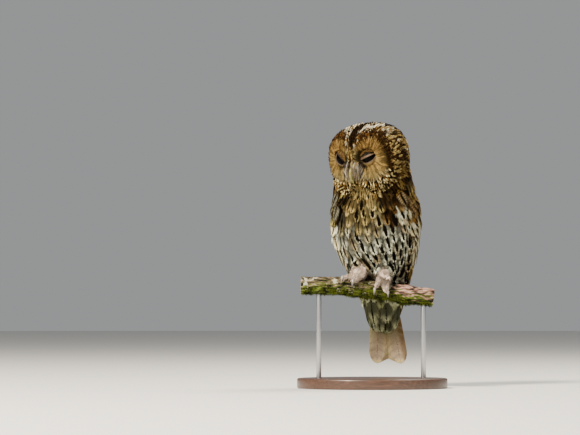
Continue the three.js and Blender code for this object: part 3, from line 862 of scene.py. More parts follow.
def lid_place(points):
    """As columns: whether points lie on the lids, how far up round the eye (degrees), how far along its
    corners' line outwards (metres), and whether they are hidden in the eye's ball."""
    on = buried = np.zeros((len(points), 1), bool)
    up = out = np.zeros((len(points), 1))
    for sign in (1, -1):
        e = into(eye_frame(sign), points)
        here = into(HEAD, points)[:, :1] * sign > 0
        far = np.linalg.norm(e, axis=1, keepdims=True)
        ball = EYE_RADIUS + 0.0006
        on = on | here & (far < EYE_RADIUS + 0.0022) & (far > ball)
        buried = buried | here & (far <= ball)
        up = np.where(here, np.degrees(np.arctan2(e[:, 2:], -e[:, 1:2])), up)
        out = np.where(here, e[:, :1] * sign, out)
    return on, up, out, buried


def face_tone(points, dice):
    """The face: buff-brown discs, paler round the bill, with bare lid edges, a dark crease over the eye painted as
    shadow, and painted shade round the eye.
    """
    h = into(HEAD, points)
    x, _, z = np.hsplit(h, 3)
    left, wide = x > 0, np.abs(x)
    radius, angle, from_eye = disc_place(h)
    angle = np.abs(angle)
    buff, warm, grey, dark, cream = map(tone, ("face", "rufous", "bristle", "dark", "cream"))
    grain = speckle(points, 0.006)
    # Bristles darken and lighten in thin sheaves that run out from the eye.
    around = np.arctan2(z - EYE.z, wide - EYE.x)
    sheaf = smoothstep(0.36, 0.62, speckle(rows(around * 8.0, from_eye * 90.0, np.sign(x)), 1.0, 4.0))
    light = np.clip(0.12 * grain + 0.66 * sheaf + 0.22 * dice, 0.0, 1.0)
    colour = mix(buff * 0.26, buff * 1.5, light)
    above = smoothstep(-0.002, 0.018, z - EYE.z)
    colour = mix(colour, mix(mix(warm, dark, 0.5) * 0.8, mix(buff, warm, 0.35) * 1.15, light), above * 0.95)
    below = smoothstep(-0.006, -0.026, z)
    colour = mix(colour, mix(buff, cream, 0.7) * mix(0.42, 1.35, light), below * 0.85)
    # Faint darker rings round the eye, broken from bristle to bristle.
    rings = 0.5 + 0.5 * np.sin(from_eye / 0.0046 * 2 * math.pi + 1.5 * grain)
    rings = rings * smoothstep(0.016, 0.024, from_eye) * smoothstep(0.2, 1.0, angle)
    colour = mix(colour, colour * 0.45, rings * (dice > 0.3) * 0.6)
    # Grey bristles beside the bill, reaching further out on the right.
    lores = smoothstep(0.017, 0.008, wide - np.where(left, 0.002, 0.008) + 0.006 * (sheaf - 0.5))
    lores = lores * smoothstep(0.012, -0.002, z)
    lores = np.clip(lores * smoothstep(-0.036, -0.022, z), 0, 1)
    pale = smoothstep(0.25, 0.8, 0.5 * sheaf + 0.5 * dice)
    pale = mix(mix(grey, dark, 0.85), mix(grey, WHITE, 0.35), pale) * np.where(left, 0.85, 1.45)
    colour = mix(colour, pale, lores * 0.9)
    # A dark stripe between the eyes, flecked with cream beside it.
    between = smoothstep(0.011, 0.007, wide) * smoothstep(-0.012, -0.002, z - EYE.z)
    stripe = smoothstep(0.0038, 0.0024, wide)
    flecked = mix(cream, mix(dark, warm, 0.3), (dice > 0.55) * 1.0)
    colour = mix(colour, mix(flecked, mix(dark, warm, 0.15), stripe), between * 0.9)
    # A dark brow closes the disc above, and a band of cream and dark flecks closes it below.
    brow = smoothstep(0.84, 0.94, radius) * smoothstep(1.1, 0.7, angle)
    colour = mix(colour, mix(mix(dark, warm, 0.2), buff, (dice > 0.8) * 0.8), brow)
    inner = mix(0.88, 0.62, smoothstep(2.0, 2.6, angle))
    band = smoothstep(inner - 0.05, inner + 0.05, radius) * smoothstep(1.7, 2.0, angle)
    fleck = smoothstep(0.5, 0.56, speckle(points, 0.0022, 9.0) + 0.1 * (dice - 0.5))
    colour = mix(colour, mix(mix(dark, warm, 0.3), mix(cream, WHITE, 0.15), fleck), band)
    side = smoothstep(0.9, 0.98, radius) * smoothstep(0.8, 1.2, angle) * smoothstep(2.1, 1.8, angle)
    colour = mix(colour, mix(dark, warm, 0.15), side * 0.85)

    on, up, out, _ = lid_place(points)
    # Painted shadow in the crease over the eye, under the brow, fainter on the right; and a dark wedge at the eye's
    # inner corner.
    crease = smoothstep(0.0175, 0.015, from_eye) * smoothstep(0.0, 20.0, up) * smoothstep(0.014, 0.006, out)
    crease = crease * np.where(left, 1.0, 0.3)
    corner = smoothstep(0.0095, 0.005, np.hypot(out + 0.0135, 0.35 * (from_eye - 0.012)))
    corner = corner * smoothstep(0.020, 0.016, from_eye)
    colour = mix(colour, dark, np.maximum(crease * 0.9, corner * 0.9))
    # Painted shade all round the eye, where the disc meets the eyeball.
    colour = mix(colour, colour * 0.5, smoothstep(0.0165, 0.013, from_eye) * 0.6)
    # The lids: bare at their edges, dark along the upper one's rim, feathered and then dark above it with the painted
    # shadow of the fold.
    lid = tone("lid")
    above, below = up - np.where(left, UPPER_LID[1][0], UPPER_LID[-1][0]), LOWER_LID[0] - up
    upper = above > -15.0
    top = smoothstep(14.0, 11.5, above + np.where(left, 0.0, 8.0))
    edge = np.where(upper, top, smoothstep(4.5, 3.0, below))
    bare = mix(lid * 1.1, lid * 0.55, ~upper * 1.0)
    bare = mix(bare, dark, np.where(upper, smoothstep(4.0, 2.0, above), 0.0) * 0.9)
    fold_shadow = upper * smoothstep(34.0, 28.0, above) * left
    feathered = mix(mix(buff, warm, upper * 0.7) * mix(0.3, 0.9, light), dark, fold_shadow)
    return np.where(on, mix(feathered, bare, edge), colour)


def sheaves(h):
    """Noise from 0 to 1 over the head in streaks that run back from the bill, about 5 mm apart."""
    away = h - BILL_ROOT
    far = np.linalg.norm(away, axis=1, keepdims=True)
    return speckle(away / far * 10.0 + far * 24.0, 1.0, 6.0)


def crown_marks(h, dice):
    """Edge colour, middle colour and streak width on the crown: a dark middle stripe between two cream
    lines that part upwards, then dark feathers streaked with gold and blotched with cream in front."""
    dark, warm, cream, brown = map(tone, ("dark", "rufous", "cream", "crown"))
    radius, angle, _ = disc_place(h)
    x, y, z = np.hsplit(h, 3)
    x = np.abs(x)
    half = 0.0022 + 0.11 * np.minimum(np.clip(z - 0.004, 0.0, 0.06), 0.04)
    front = smoothstep(0.02, -0.02, y)
    stripe = smoothstep(half + 0.0012, half - 0.0008, x) * front
    lines = smoothstep(0.0032, 0.0014, np.abs(x - (half + 0.0028))) * front
    lump = speckle(h, 0.009, 3.0)
    patch = smoothstep(0.32, 0.42, lump) * smoothstep(0.034, 0.040, z) * smoothstep(0.002, 0.006, x)
    patch = patch * smoothstep(0.022, -0.006, y) * smoothstep(0.050, 0.040, x)
    brow = smoothstep(1.13, 1.07, radius) * smoothstep(1.0, 0.7, np.abs(angle)) * smoothstep(0.010, 0.014, x)
    patch = np.maximum(patch * (dice > 0.4), lines * (dice > 0.45)) * (1.0 - brow)
    pale = np.clip(patch + (dice > 0.92 - 0.14 * front) * (1.0 - brow), 0, 1)
    gold = smoothstep(0.42, 0.52, sheaves(h) + 0.3 * (dice - 0.5))
    body = mix(mix(dark, brown, 0.5), mix(mix(warm, tone("face"), 0.6) * 0.85, cream, 0.25 * dice), gold)
    edge = mix(body, mix(cream, WHITE, 0.42) * mix(0.8, 1.15, dice), pale)
    edge = mix(edge, mix(dark, warm, 0.4 * dice), np.maximum(stripe, brow * (dice < 0.85)))
    return edge, mix(dark, brown, 0.12), mix(mix(mix(0.5, 0.1, gold), 0.05, pale), 1.0, stripe)


def rim_marks(h, dice):
    """The ruff round the discs: its share at each point, edge colour and streak width."""
    dark, warm, cream, buff = map(tone, ("dark", "rufous", "cream", "breast"))
    radius, angle, _ = disc_place(h)
    low = smoothstep(1.8, 2.3, angle)
    near = smoothstep(0.9, 0.98, radius) * smoothstep(1.34, 1.24, radius) * smoothstep(0.02, -0.01, h[:, 1:2])
    pale = (dice > 0.5) * 1.0
    fleck = mix(mix(dark, warm, 0.4), mix(buff, cream, 0.5) * 0.85, pale)
    side = mix(fleck, mix(dark, warm, 0.15), smoothstep(1.04, 1.0, radius))
    under = mix(mix(warm, dark, 0.7), cream * 0.85, pale)
    return near * np.maximum(smoothstep(0.5, 1.0, angle), low), mix(side, under, low), mix(0.3, 0.1, pale)


def plumage(points, kinds, dice):
    """Edge colour with the streak's width, and middle colour with the bars' strength, of the feathers at
    points. dice is a number from 0 to 1 for each, by which neighbours differ."""
    b, h = into(STANCE, points), into(HEAD, points)
    x, y, z = np.hsplit(b, 3)
    kinds, dice = kinds[:, None], dice[:, None]
    dark, warm, cream, white = map(tone, ("dark", "rufous", "cream", "belly"))
    buff, brown, down = map(tone, ("breast", "mantle", "leg"))
    grain, blot = speckle(points, 0.014, 5.0), speckle(points, 0.018, 8.0)
    behind = y - np.interp(z / MM, *BODY_AXIS) * MM

    front = smoothstep(0.028, -0.004, behind)
    chest = smoothstep(0.088, 0.114, z + 0.05 * (blot - 0.5) + 0.012 * (dice - 0.5))
    belly = mix(white * 0.85, white * 1.3, mix(grain, dice, 0.5))
    # Low on the right the belly has more buff blotches and stronger bars, and is darkened by a fifth as painted
    # shadow.
    low = smoothstep(0.095, 0.055, z) * smoothstep(-0.015, 0.04, x)
    belly = mix(belly, mix(white, buff, 0.8) * 0.8, smoothstep(0.55 - 0.12 * low, 0.7 - 0.12 * low, grain) * 0.8)
    belly = belly * mix(1.0, 0.78, low)
    blotch = mix(blot, dice, 0.4)
    breast = mix(mix(buff, cream, 0.9) * 0.92, mix(buff, warm, 0.7), smoothstep(0.38, 0.56, blotch))
    breast = mix(breast, mix(warm, dark, 0.8), smoothstep(0.56, 0.66, blotch) * 0.9)
    middle = smoothstep(0.045, 0.02, np.abs(x + 0.012)) * smoothstep(0.15, 0.12, z)
    breast = mix(breast, mix(breast, cream, 0.6), middle * 0.7)
    flank = smoothstep(0.02, 0.045, x) * smoothstep(0.11, 0.122, z)
    breast = mix(breast, mix(warm, dark, 0.5 + 0.4 * dice), flank * 0.85)
    back = mix(brown * 0.8, mix(brown, warm, 0.6), mix(grain, dice, 0.5))
    colour = mix(back, mix(belly, breast, chest), front)
    bold = mix(0.08, 0.4, smoothstep(0.4, 0.65, speckle(points, 0.02, 12.0)))
    streak = mix(0.42, mix(0.27 + 0.04 * low, bold, chest), front)
    bars = mix(0.7, mix(0.45 + 0.3 * low, 0.12, chest), front)
    # The right shoulder is olive-brown, mottled with cream.
    shoulder = smoothstep(-0.028, -0.042, x) * smoothstep(0.092, 0.104, z) * smoothstep(0.16, 0.14, z)
    mottle = mix(mix(brown, dark, 0.75), mix(cream, rgb("a39a3c"), 0.6) * 0.8, (dice > 0.6) * 1.0)
    colour = mix(colour, mottle, shoulder * front)

    # Nape and cheeks: dark feathers with narrow golden edges.
    neck = np.isin(kinds, ["neck", "head"])
    gold = smoothstep(0.42, 0.56, sheaves(h) + 0.25 * (dice - 0.5))
    nape = mix(mix(warm, dark, 0.8), mix(mix(warm, buff, 0.8), cream, 0.4 * dice), gold)
    throat = smoothstep(0.03, 0.008, np.abs(h[:, :1])) * smoothstep(-0.03, -0.045, h[:, 2:]) * front
    thin = mix(0.3, 0.26, throat) * (1.0 - 0.6 * gold) + 0.25 * smoothstep(0.5, 0.65, blot)
    colour = np.where(neck, mix(nape, mix(cream, buff, 0.35), throat * 0.85), colour)
    streak, bars = np.where(neck, thin, streak), np.where(neck, 0.3, bars)

    top = smoothstep(-0.012, 0.022, h[:, 2:] + 0.3 * h[:, 1:2] - 0.006) * (kinds == "head")
    edge, centre, width = crown_marks(h, dice)
    colour, streak, marks = mix(colour, edge, top), mix(streak, width, top), mix(dark, centre, top)
    share, edge, width = rim_marks(h, dice)
    colour, streak = mix(colour, edge, share * neck), mix(streak, width, share * neck)
    # Painted shadows: the gaps darken to a dark brown.
    for across, up, wide, tall in PAINTED_SHADOWS:
        gap = np.exp(-(((x - across) / wide) ** 2) - ((z - up) / tall) ** 2) * front
        colour = mix(colour, mix(dark, warm, 0.1), np.clip(1.4 * gap, 0.0, 0.95))

    # Wings, paler in front, where the right one is white and the left one buff, darkened there by about half as
    # painted shadow; then vent, legs and face.
    coverts = mix(mix(brown, dark, 0.3), mix(brown, buff, 0.6), mix(grain, dice, 0.6))
    forward = smoothstep(0.012, -0.012, behind) * smoothstep(0.125, 0.1, z)
    lobes = mix(mix(belly, buff, 0.45) * 0.55, white * 1.35, smoothstep(-0.02, -0.045, x))
    side = forward * smoothstep(0.0, -0.03, x)
    for names, new_colour, new_streak, new_bars in (
        (["wing", "wing_tip"], mix(coverts, lobes, forward), mix(0.26, 0.04, side),
         mix(mix(0.7, 0.3, forward), 0.05, side)),
        # The vent's pale feathers are tinted green as painted reflected light.
        (["undertail"], mix(rgb("c0c49e"), rgb("8f9462"), dice), 0.1, 0.12),
        (["leg"], mix(down * 0.75, down * 1.2, mix(grain, dice, 0.7)), 0.0, 0.0),
        (["facial_disc"], face_tone(points, dice), 0.0, 0.0),
    ):
        here = np.isin(kinds, names)
        colour = np.where(here, new_colour, colour)
        streak, bars = np.where(here, new_streak, streak), np.where(here, new_bars, bars)
    return rows(colour, streak), rows(marks, bars)


# ---- The lie of the coat ----


def lie_at(points):
    """The direction feathers point in, at places on the skin."""
    kinds = kinds_at(points)[:, None]
    x, y, z = np.hsplit(into(STANCE, points), 3)
    h = into(HEAD, points)
    across, ahead, up = np.hsplit(h, 3)
    side = np.sign(across)
    # Down the body, parting over the breast and closing again towards the vent.
    part = 0.38 * smoothstep(0.09, 0.14, z) - 0.3 * smoothstep(0.1, 0.04, z)
    aside = np.clip(x / 0.045, -1.0, 1.0) * part * (y < 0.03)
    # The belly's rows slant, as they do on a bird that leans on one leg.
    aside = aside + 0.34 * smoothstep(0.125, 0.08, z) * smoothstep(0.02, -0.02, y)
    flow = turned(STANCE, rows(aside, 0.25, -1.0))
    # Back from the bill over the crown, out from the eyes over the discs, and down beside the bill.
    down = smoothstep(0.0, 0.045, ahead) + smoothstep(-0.02, -0.045, up)
    crown = unit(mix(turned(HEAD, unit(h - BILL_ROOT)), flow, np.clip(down, 0, 1)))
    radial = turned(HEAD, unit(h - rows(side * EYE.x, EYE.y + 0.004, EYE.z)))
    sweep = turned(HEAD, unit(rows(side * 0.25, -0.7, -1.0)))
    lores = smoothstep(0.015, 0.008, np.abs(across)) * smoothstep(0.012, 0.0, up)
    face = unit(mix(radial, sweep, lores))
    # Down the legs, and round the perch over the toes.
    _, back, rise = np.hsplit(points - np.array(PERCH), 3)
    toes = unit(rows(0.0, np.sign(back) * np.abs(rise), -np.abs(back) - 0.004))
    leg = mix(toes, np.array([0.0, -0.3, -1.0]), smoothstep(0.026, 0.036, np.hypot(back, rise)))
    for kind, field in (("head", crown), ("facial_disc", face), ("leg", leg)):
        flow = np.where(kinds == kind, field, flow)
    return flow


def outwards(points):
    """Away from the middle of the nearer facial disc."""
    h = into(HEAD, points)
    return turned(HEAD, unit(h - rows(np.sign(h[:, :1]) * DISC.x, h[:, 1:2], DISC.z + 0.004)))


def cut_at(points, kinds):
    """Length, half width, spacing and tip height of the feathers rooted at points, in metres."""
    z = into(STANCE, points)[:, 2:]
    h = into(HEAD, points)
    across, ahead, up = np.hsplit(h, 3)
    _, _, from_eye = disc_place(h)
    on, _, _, _ = lid_place(points)
    away = np.hypot(points[:, 1:2] - PERCH[1], points[:, 2:] - PERCH[2])
    cut = np.array([CUT[kind] for kind in kinds])
    for kind, share, factors in (
        # Breast feathers grow shorter towards the neck, and crown feathers towards the bill.
        ("trunk", smoothstep(0.085, 0.15, z), (0.8, 0.88, 0.86, 1.0)),
        ("head", smoothstep(0.03, -0.045, ahead), (0.62, 0.66, 0.68, 0.75)),
        ("head", smoothstep(-0.025, 0.01, ahead), (1.25, 1.1, 1.2, 1.0)),
        # The chin's feathers hang over the throat.
        ("head", smoothstep(-0.03, -0.042, up), (2.0, 1.5, 1.1, 1.3)),
        # Bristles beside the bill are long, and those on the lids and round the eyes short.
        ("facial_disc", smoothstep(0.018, 0.012, np.abs(across)) * smoothstep(0.01, 0.0, up), (1.45, 0.75, 0.72, 1.9)),
        ("facial_disc", on * 1.0, (0.38, 0.8, 0.9, 0.4)),
        ("facial_disc", smoothstep(0.021, 0.014, from_eye) * ~on, (0.6, 0.9, 0.9, 0.6)),
        ("leg", smoothstep(0.022, 0.032, away), (1.8, 1.5, 1.2, 3.6)),
        # Shorter feathers close the coat round the legs and over the vent.
        ("trunk", smoothstep(0.034, 0.016, z), (0.62, 0.7, 0.6, 0.8)),
    ):
        cut = mix(cut, cut * factors, share * (kinds == kind)[:, None])
    return cut * MM


def cover(coat, wanted, template, deep=0.14):
    """Covers the part of the skin that wanted(points, kinds) keeps with feathers, darkened to a share `deep` of
    the colour at the root as painted shade under the feathers that overlap them."""
    skin, rng = coat.skin, coat.rng
    roots = skin.scatter(
        rng, lambda points: wanted(points, kinds_at(points)), lambda points: cut_at(points, kinds_at(points))[:, 2]
    )
    kinds = kinds_at(roots)
    cut = cut_at(roots, kinds)
    size = np.clip(rng.normal(1.0, 0.09, len(roots)), 0.8, 1.2)
    length, width = cut[:, 0] * size, cut[:, 1] * size
    lines, normals = skin.follow(roots, lie_at, length)
    middle = lines[:, 4]
    kinds = np.where(kinds == "facial_disc", kinds, kinds_at(middle))
    ground, mark = plumage(middle, kinds, rng.random(len(roots)))
    ground[:, :3] *= np.clip(rng.normal(1.0, 0.07, (len(roots), 1)), 0.8, 1.2)

    def paint(which, across, along):
        # Painted shade: each feather darkens from near its tip to a share `deep` at its root, where the feathers above
        # overlap it; its edges are paler.
        root = smoothstep(0.92, 0.66, along)[..., None]
        edge = smoothstep(0.55, 1.0, np.abs(across))[..., None]
        return shaded(ground[which], mix(mix(1.0, 1.15, edge), deep, root)), mark[which]

    coat.lay(lines, normals, length, width, (0.0004, cut[:, 3]), template, paint)


# ---- Settings in the sidebar ----


def colour_setting(name, description, hex_colour):
    return bpy.props.FloatVectorProperty(
        name=name, description=description, default=linear(hex_colour)[:3], subtype="COLOR",
        size=3, min=0.0, max=1.0,
    )


def length_setting(name, description, default):
    return bpy.props.FloatProperty(
        name=name, description=description, default=default, min=0.0, unit="LENGTH", precision=4,
    )


class OwlColours(bpy.types.PropertyGroup):
    """Colours of the coat, the horn and the stand."""

    face: colour_setting("Face", "Buff of the facial discs", "bf9f5e")
    bristle: colour_setting("Bristles", "Grey-white bristles beside the bill", "aca28f")
    crown: colour_setting("Crown", "Brown of the crown", "4a3110")
    rufous: colour_setting("Rufous", "Warm brown of the nape and breast", "7e5526")
    breast: colour_setting("Breast", "Buff of the upper breast", "b08a42")
    belly: colour_setting("Belly", "Off-white of the belly", "edf1d6")
    cream: colour_setting("Cream", "Cream of the pale flecks and lines", "ecd890")
    mantle: colour_setting("Mantle", "Brown of the back and wings", "5e461c")
    dark: colour_setting("Marks", "Dark brown of the streaks and bars", "070402")
    tail: colour_setting("Tail", "Grey-brown of the tail's underside", "b5a288")
    leg: colour_setting("Legs", "Pinkish buff of the feathered legs", "f5dfca")
    lid: colour_setting("Lids", "Pinkish brown of the bare lids", "6e5a44")
    bill: colour_setting("Bill", "Olive yellow of the bill", "7d7532")
    claw: colour_setting("Claws", "Grey of the claws", "a39a93")
    bark: colour_setting("Bark", "Grey-brown of the bark", "5e543c")
    moss: colour_setting("Moss", "Green of the moss", "505e1a")
    board: colour_setting("Board", "Brown of the stand's base", "4a3020")


class OwlSizes(bpy.types.PropertyGroup):
    """Sizes that shape the skin and the perch."""

    voxel: length_setting("Skin grain", "Voxel size of the skin's surface", 0.0022)
    bark_relief: length_setting("Bark relief", "Depth of the bark's cracks", 0.0022)


# ---- Operators: the skin ----


class OWL_OT_skin(bpy.types.Operator):
    """Make one skin from the parts of flesh, inside them by the coat's depth, with sockets and lids"""

    bl_idname = "owl.skin"
    bl_label = "Skin"

    def execute(self, context):
        piece = object_from(merged_nodes(FLESH), "skin", "breast", skin_material(), lid_material())
        remesh = piece.modifiers.new("Remesh", "REMESH")
        remesh.mode = "VOXEL"
        remesh.voxel_size = context.scene.owl_sizes.voxel
        apply_modifiers(piece)
        bm = bmesh.new()
        bm.from_mesh(piece.data)
        keep_largest(bm)
        layer = bm.verts.layers.float.new("depth")
        for v, kind in zip(bm.verts, kinds_at([v.co for v in bm.verts])):
            v[layer] = COAT_DEPTH[kind] * MM
        for _ in range(6):
            average_depth(bm, layer)
        # The skin sinks by its depth in rounds, each evened out, and is then smoothed further.
        sinking, further = 5, 3
        for k in range(sinking + further):
            if k < sinking:
                bm.normal_update()
                for v in bm.verts:
                    v.co -= v.normal * (v[layer] / sinking)
            bmesh.ops.smooth_vert(bm, verts=bm.verts, factor=0.5, use_axis_x=True, use_axis_y=True, use_axis_z=True)
        add_lids(bm)
        bm.to_mesh(piece.data)
        bm.free()
        smooth_faces(piece.data)
        unwrap(piece)
        points = gathered(piece.data.vertices, "co", 3)
        ground, _ = plumage(points, kinds_at(points), np.full(len(points), 0.5))
        set_attribute(piece.data, "ground", "FLOAT_COLOR", ground)
        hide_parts(*FLESH)
        return {"FINISHED"}


def keep_largest(bm):
    """Deletes all but the largest connected piece."""
    left = set(bm.verts)
    islands = []
    while left:
        seed = left.pop()
        island, front = {seed}, [seed]
        while front:
            vertex = front.pop()
            fresh = {edge.other_vert(vertex) for edge in vertex.link_edges} - island
            island |= fresh
            front.extend(fresh)
        left -= island
        islands.append(island)
    islands.sort(key=len)
    bmesh.ops.delete(bm, geom=[v for island in islands[:-1] for v in island], context="VERTS")


def average_depth(bm, layer):
    """Evens out the depth between neighbours, so that no step forms where parts meet."""
    fresh = [
        (v[layer] + sum(e.other_vert(v)[layer] for e in v.link_edges)) / (1 + len(v.link_edges))
        for v in bm.verts
    ]
    for v, value in zip(bm.verts, fresh):
        v[layer] = value


def eye_frame(sign):
    """The left (1) or right (-1) eye: -Y looks out of it, and X runs through its corners, outwards."""
    return (
        HEAD
        @ Matrix.Translation((sign * EYE.x, EYE.y, EYE.z))
        @ Matrix.Rotation(math.radians(sign * GAZE), 4, "Z")
        @ Matrix.Rotation(math.radians(-sign * CORNER_TILT[sign]), 4, "Y")
    )


def lid_section(share, low, high):
    """Once round a lid's section: the angle above straight ahead, in radians, and the distance from the
    eye's centre. Both of its edges are half rounds."""
    inner = EYE_RADIUS + 0.0004
    half = LID_THICKNESS / 2
    rim = 0.1  # the share of the way round that each rounded edge takes
    across = 0.5 - rim
    if share < across:
        return mix(low, high, share / across), inner
    if share < 0.5:
        turn = math.pi * (share - across) / rim
        return high + half * math.sin(turn) / inner, inner + half * (1.0 - math.cos(turn))
    if share < 0.5 + across:
        return mix(high, low, (share - 0.5) / across), inner + 2 * half
    turn = math.pi * (share - 0.5 - across) / rim
    return low - half * math.sin(turn) / inner, inner + half * (1.0 + math.cos(turn))


def add_lids(bm):
    """Adds each lid as a slice of a thin shell round the eyeball, hinged on the eye's corners."""
    corner = 0.03  # the slice stops this angle short of the line through the corners, in radians
    for sign in (1, -1):
        for edges in (UPPER_LID[sign], LOWER_LID):
            low, high = sorted(math.radians(angle) for angle in edges)
            lid = bmesh.new()
            bmesh.ops.create_grid(lid, x_segments=60, y_segments=56, size=0.5)
            for v in lid.verts:
                angle, radius = lid_section(v.co.x + 0.5, low, high)
                turn = mix(corner, math.pi - corner, v.co.y + 0.5)
                out = math.sin(turn)
                v.co = Vector((-math.cos(turn), -out * math.cos(angle), out * math.sin(angle))) * radius
            close(lid)
            for face in lid.faces:
                face.material_index = 1
            bmesh.ops.transform(lid, matrix=eye_frame(sign), verts=lid.verts)
            mesh = bpy.data.meshes.new("lid")
            lid.to_mesh(mesh)
            lid.free()
            bm.from_mesh(mesh)
            bpy.data.meshes.remove(mesh)


# ---- Operators: eyes, bill and claws ----


class OWL_OT_eyes(bpy.types.Operator):
    """Make the two dark eyes, each with a cornea that bulges a little"""

    bl_idname = "owl.eyes"
    bl_label = "Eyes"

    def execute(self, context):
        made = eye_material()
        cornea, bulge = 0.009, 0.0009
        for sign, side in ((1, "left"), (-1, "right")):
            bm = bmesh.new()
            bmesh.ops.create_uvsphere(bm, u_segments=64, v_segments=40, radius=EYE_RADIUS)
            bmesh.ops.rotate(bm, verts=bm.verts, matrix=Matrix.Rotation(math.radians(90), 3, "X"))
            for v in bm.verts:
                from_axis = math.hypot(v.co.x, v.co.z)
                if v.co.y < 0 and from_axis < cornea:
                    v.co.y -= bulge * (1.0 - (from_axis / cornea) ** 2)
            bmesh.ops.transform(bm, matrix=eye_frame(sign), verts=bm.verts)
            bmesh.ops.recalc_face_normals(bm, faces=bm.faces)
            piece = object_from(bm, f"eyeball_{side}", "eye", made)
            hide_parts(f"eye_{side}")
        return {"FINISHED"}


def rolled(path, section, rings, segments, side):
    """A closed horn or branch along path(u): section(u, angle) gives its offsets across and upwards, and
    side points across it.

    The points carry `along`, their share of the way.
    """
    bm = bmesh.new()
    bmesh.ops.create_grid(bm, x_segments=segments, y_segments=rings, size=0.5)
    layer = bm.verts.layers.float.new("along")
    for v in bm.verts:
        u, angle = v.co.y + 0.5, (v.co.x + 0.5) * 2 * math.pi
        ahead = (path(min(1.0, u + 0.01)) - path(max(0.0, u - 0.01))).normalized()
        up = side.cross(ahead).normalized()
        across = ahead.cross(up).normalized()
        x, y = section(u, angle)
        v.co = path(u) + across * x + up * y
        v[layer] = u
    close(bm)
    return bm


class OWL_OT_bill(bpy.types.Operator):
    """Make the hooked upper bill and the lower bill under it"""

    bl_idname = "owl.bill"
    bl_label = "Bill"

    def execute(self, context):
        made = horn_material("bill horn", tone("bill"), tone("bill") * 1.2, 700.0)
        # Each half's middle line bends from its root past a second point to its tip, in mm on the head.
        for name, line, base in (
            ("upper", ((0, -44, -5), (0, -67.5, -9), (0, -54.5, -28.5)), 5.6),
            ("lower", ((0, -44, -14), (0, -56, -16), (0, -53.5, -23)), 4.0),
        ):
            def place(u, line=line):
                a, b, c = (Vector(point) for point in line)
                return a.lerp(b, u).lerp(b.lerp(c, u), u) * MM

            def section(u, angle, base=base):
                size = base * (1.0 - u) ** 0.6 * MM + 0.0007
                x, y = math.cos(angle), math.sin(angle)
                ridge = 1.0 + 0.18 * max(0.0, -y) ** 3
                return x * size * 0.62, y * size * ridge

            bm = rolled(place, section, 40, 32, Vector((1.0, 0.0, 0.0)))
            bmesh.ops.transform(bm, matrix=HEAD, verts=bm.verts)
            piece = object_from(bm, f"bill_{name}_horn", "bill", made)
            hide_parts(f"bill_{name}")
        return {"FINISHED"}


class OWL_OT_claws(bpy.types.Operator):
    """Smooth the eight claws and shade them towards their tips"""

    bl_idname = "owl.claws"
    bl_label = "Claws"

    def execute(self, context):
        made = horn_material("claw horn", tone("claw"), tone("claw") * 0.35, 900.0)
        for side in ("left", "right"):
            low, high = (Vector(corner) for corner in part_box(f"leg_{side}"))
            ankle = low.lerp(high, 0.5)
            for toe in ("inner", "middle", "hind", "outer"):
                name = f"claw_{toe}_{side}"
                bm = merged_nodes([name])
                reach = [(v.co - ankle).length for v in bm.verts]
                layer = bm.verts.layers.float.new("along")
                for v, far in zip(bm.verts, reach):
                    v[layer] = (far - min(reach)) / (max(reach) - min(reach))
                piece = object_from(bm, f"{name}_horn", "claw", made)
                rounder = piece.modifiers.new("Subdivision", "SUBSURF")
                rounder.levels = rounder.render_levels = 2
                apply_modifiers(piece)
                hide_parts(name)
        return {"FINISHED"}


# ---- Operators: the coat ----


class OWL_OT_body_coat(bpy.types.Operator):
    """Cover the breast, belly, sides, neck and back with soft contour feathers"""

    bl_idname = "owl.body_coat"
    bl_label = "Body feathers"

    def execute(self, context):
        skin = Skin("skin")
        made = feather_material("contour feathers")
        template = pinnate(30, 5.2, slant=1.15)
        wings = ["wing", "wing_tip"]
        for seed, name, slot, part in (
            (11, "feathers_breast", "breast", lambda b, kinds: (kinds == "trunk") & (b[:, 2] > 0.08)),
            (12, "feathers_belly", "belly", lambda b, kinds: (kinds == "trunk") & (b[:, 2] <= 0.08)),
            (13, "feathers_neck", "breast", lambda b, kinds: kinds == "neck"),
            (14, "feathers_undertail", "belly", lambda b, kinds: kinds == "undertail"),
            (15, "feathers_wing_left", "wing", lambda b, kinds: np.isin(kinds, wings) & (b[:, 0] > 0)),
            (16, "feathers_wing_right", "wing", lambda b, kinds: np.isin(kinds, wings) & (b[:, 0] <= 0)),
        ):
            coat = Coat(skin, seed)
            cover(coat, lambda points, kinds, part=part: part(into(STANCE, points), kinds), template)
            coat.piece(name, slot, made)
        return {"FINISHED"}


class OWL_OT_head_coat(bpy.types.Operator):
    """Cover the crown and cheeks with short feathers and the facial discs with bristles"""

    bl_idname = "owl.head_coat"
    bl_label = "Head feathers"

    def execute(self, context):
        skin = Skin("skin")
        made = feather_material("short head feathers")
        short = pinnate(20, 4.6, fine=True)
        for seed, name, slot, template, part in (
            (21, "feathers_crown_left", "crown", short, lambda h, kinds: (kinds == "head") & (h[:, 0] > 0)),
            (22, "feathers_crown_right", "crown", short, lambda h, kinds: (kinds == "head") & (h[:, 0] <= 0)),
            (23, "feathers_face", "face", bristle(), lambda h, kinds: (kinds == "facial_disc") & ~bare_edges(h)),
        ):
            coat = Coat(skin, seed)
            cover(coat, lambda points, kinds, part=part: part(into(HEAD, points), kinds), template, deep=0.6)
            coat.piece(name, slot, made)
        return {"FINISHED"}


def bare_edges(h):
    """The lids' edges, where no bristle grows."""
    on, up, _, buried = lid_place(out_of(HEAD, h))
    top = np.where(h[:, :1] > 0, UPPER_LID[1][0] + 13.0, UPPER_LID[-1][0] + 5.0)
    return (on & (up > LOWER_LID[0] - 8.0) & (up < top) | buried)[:, 0]


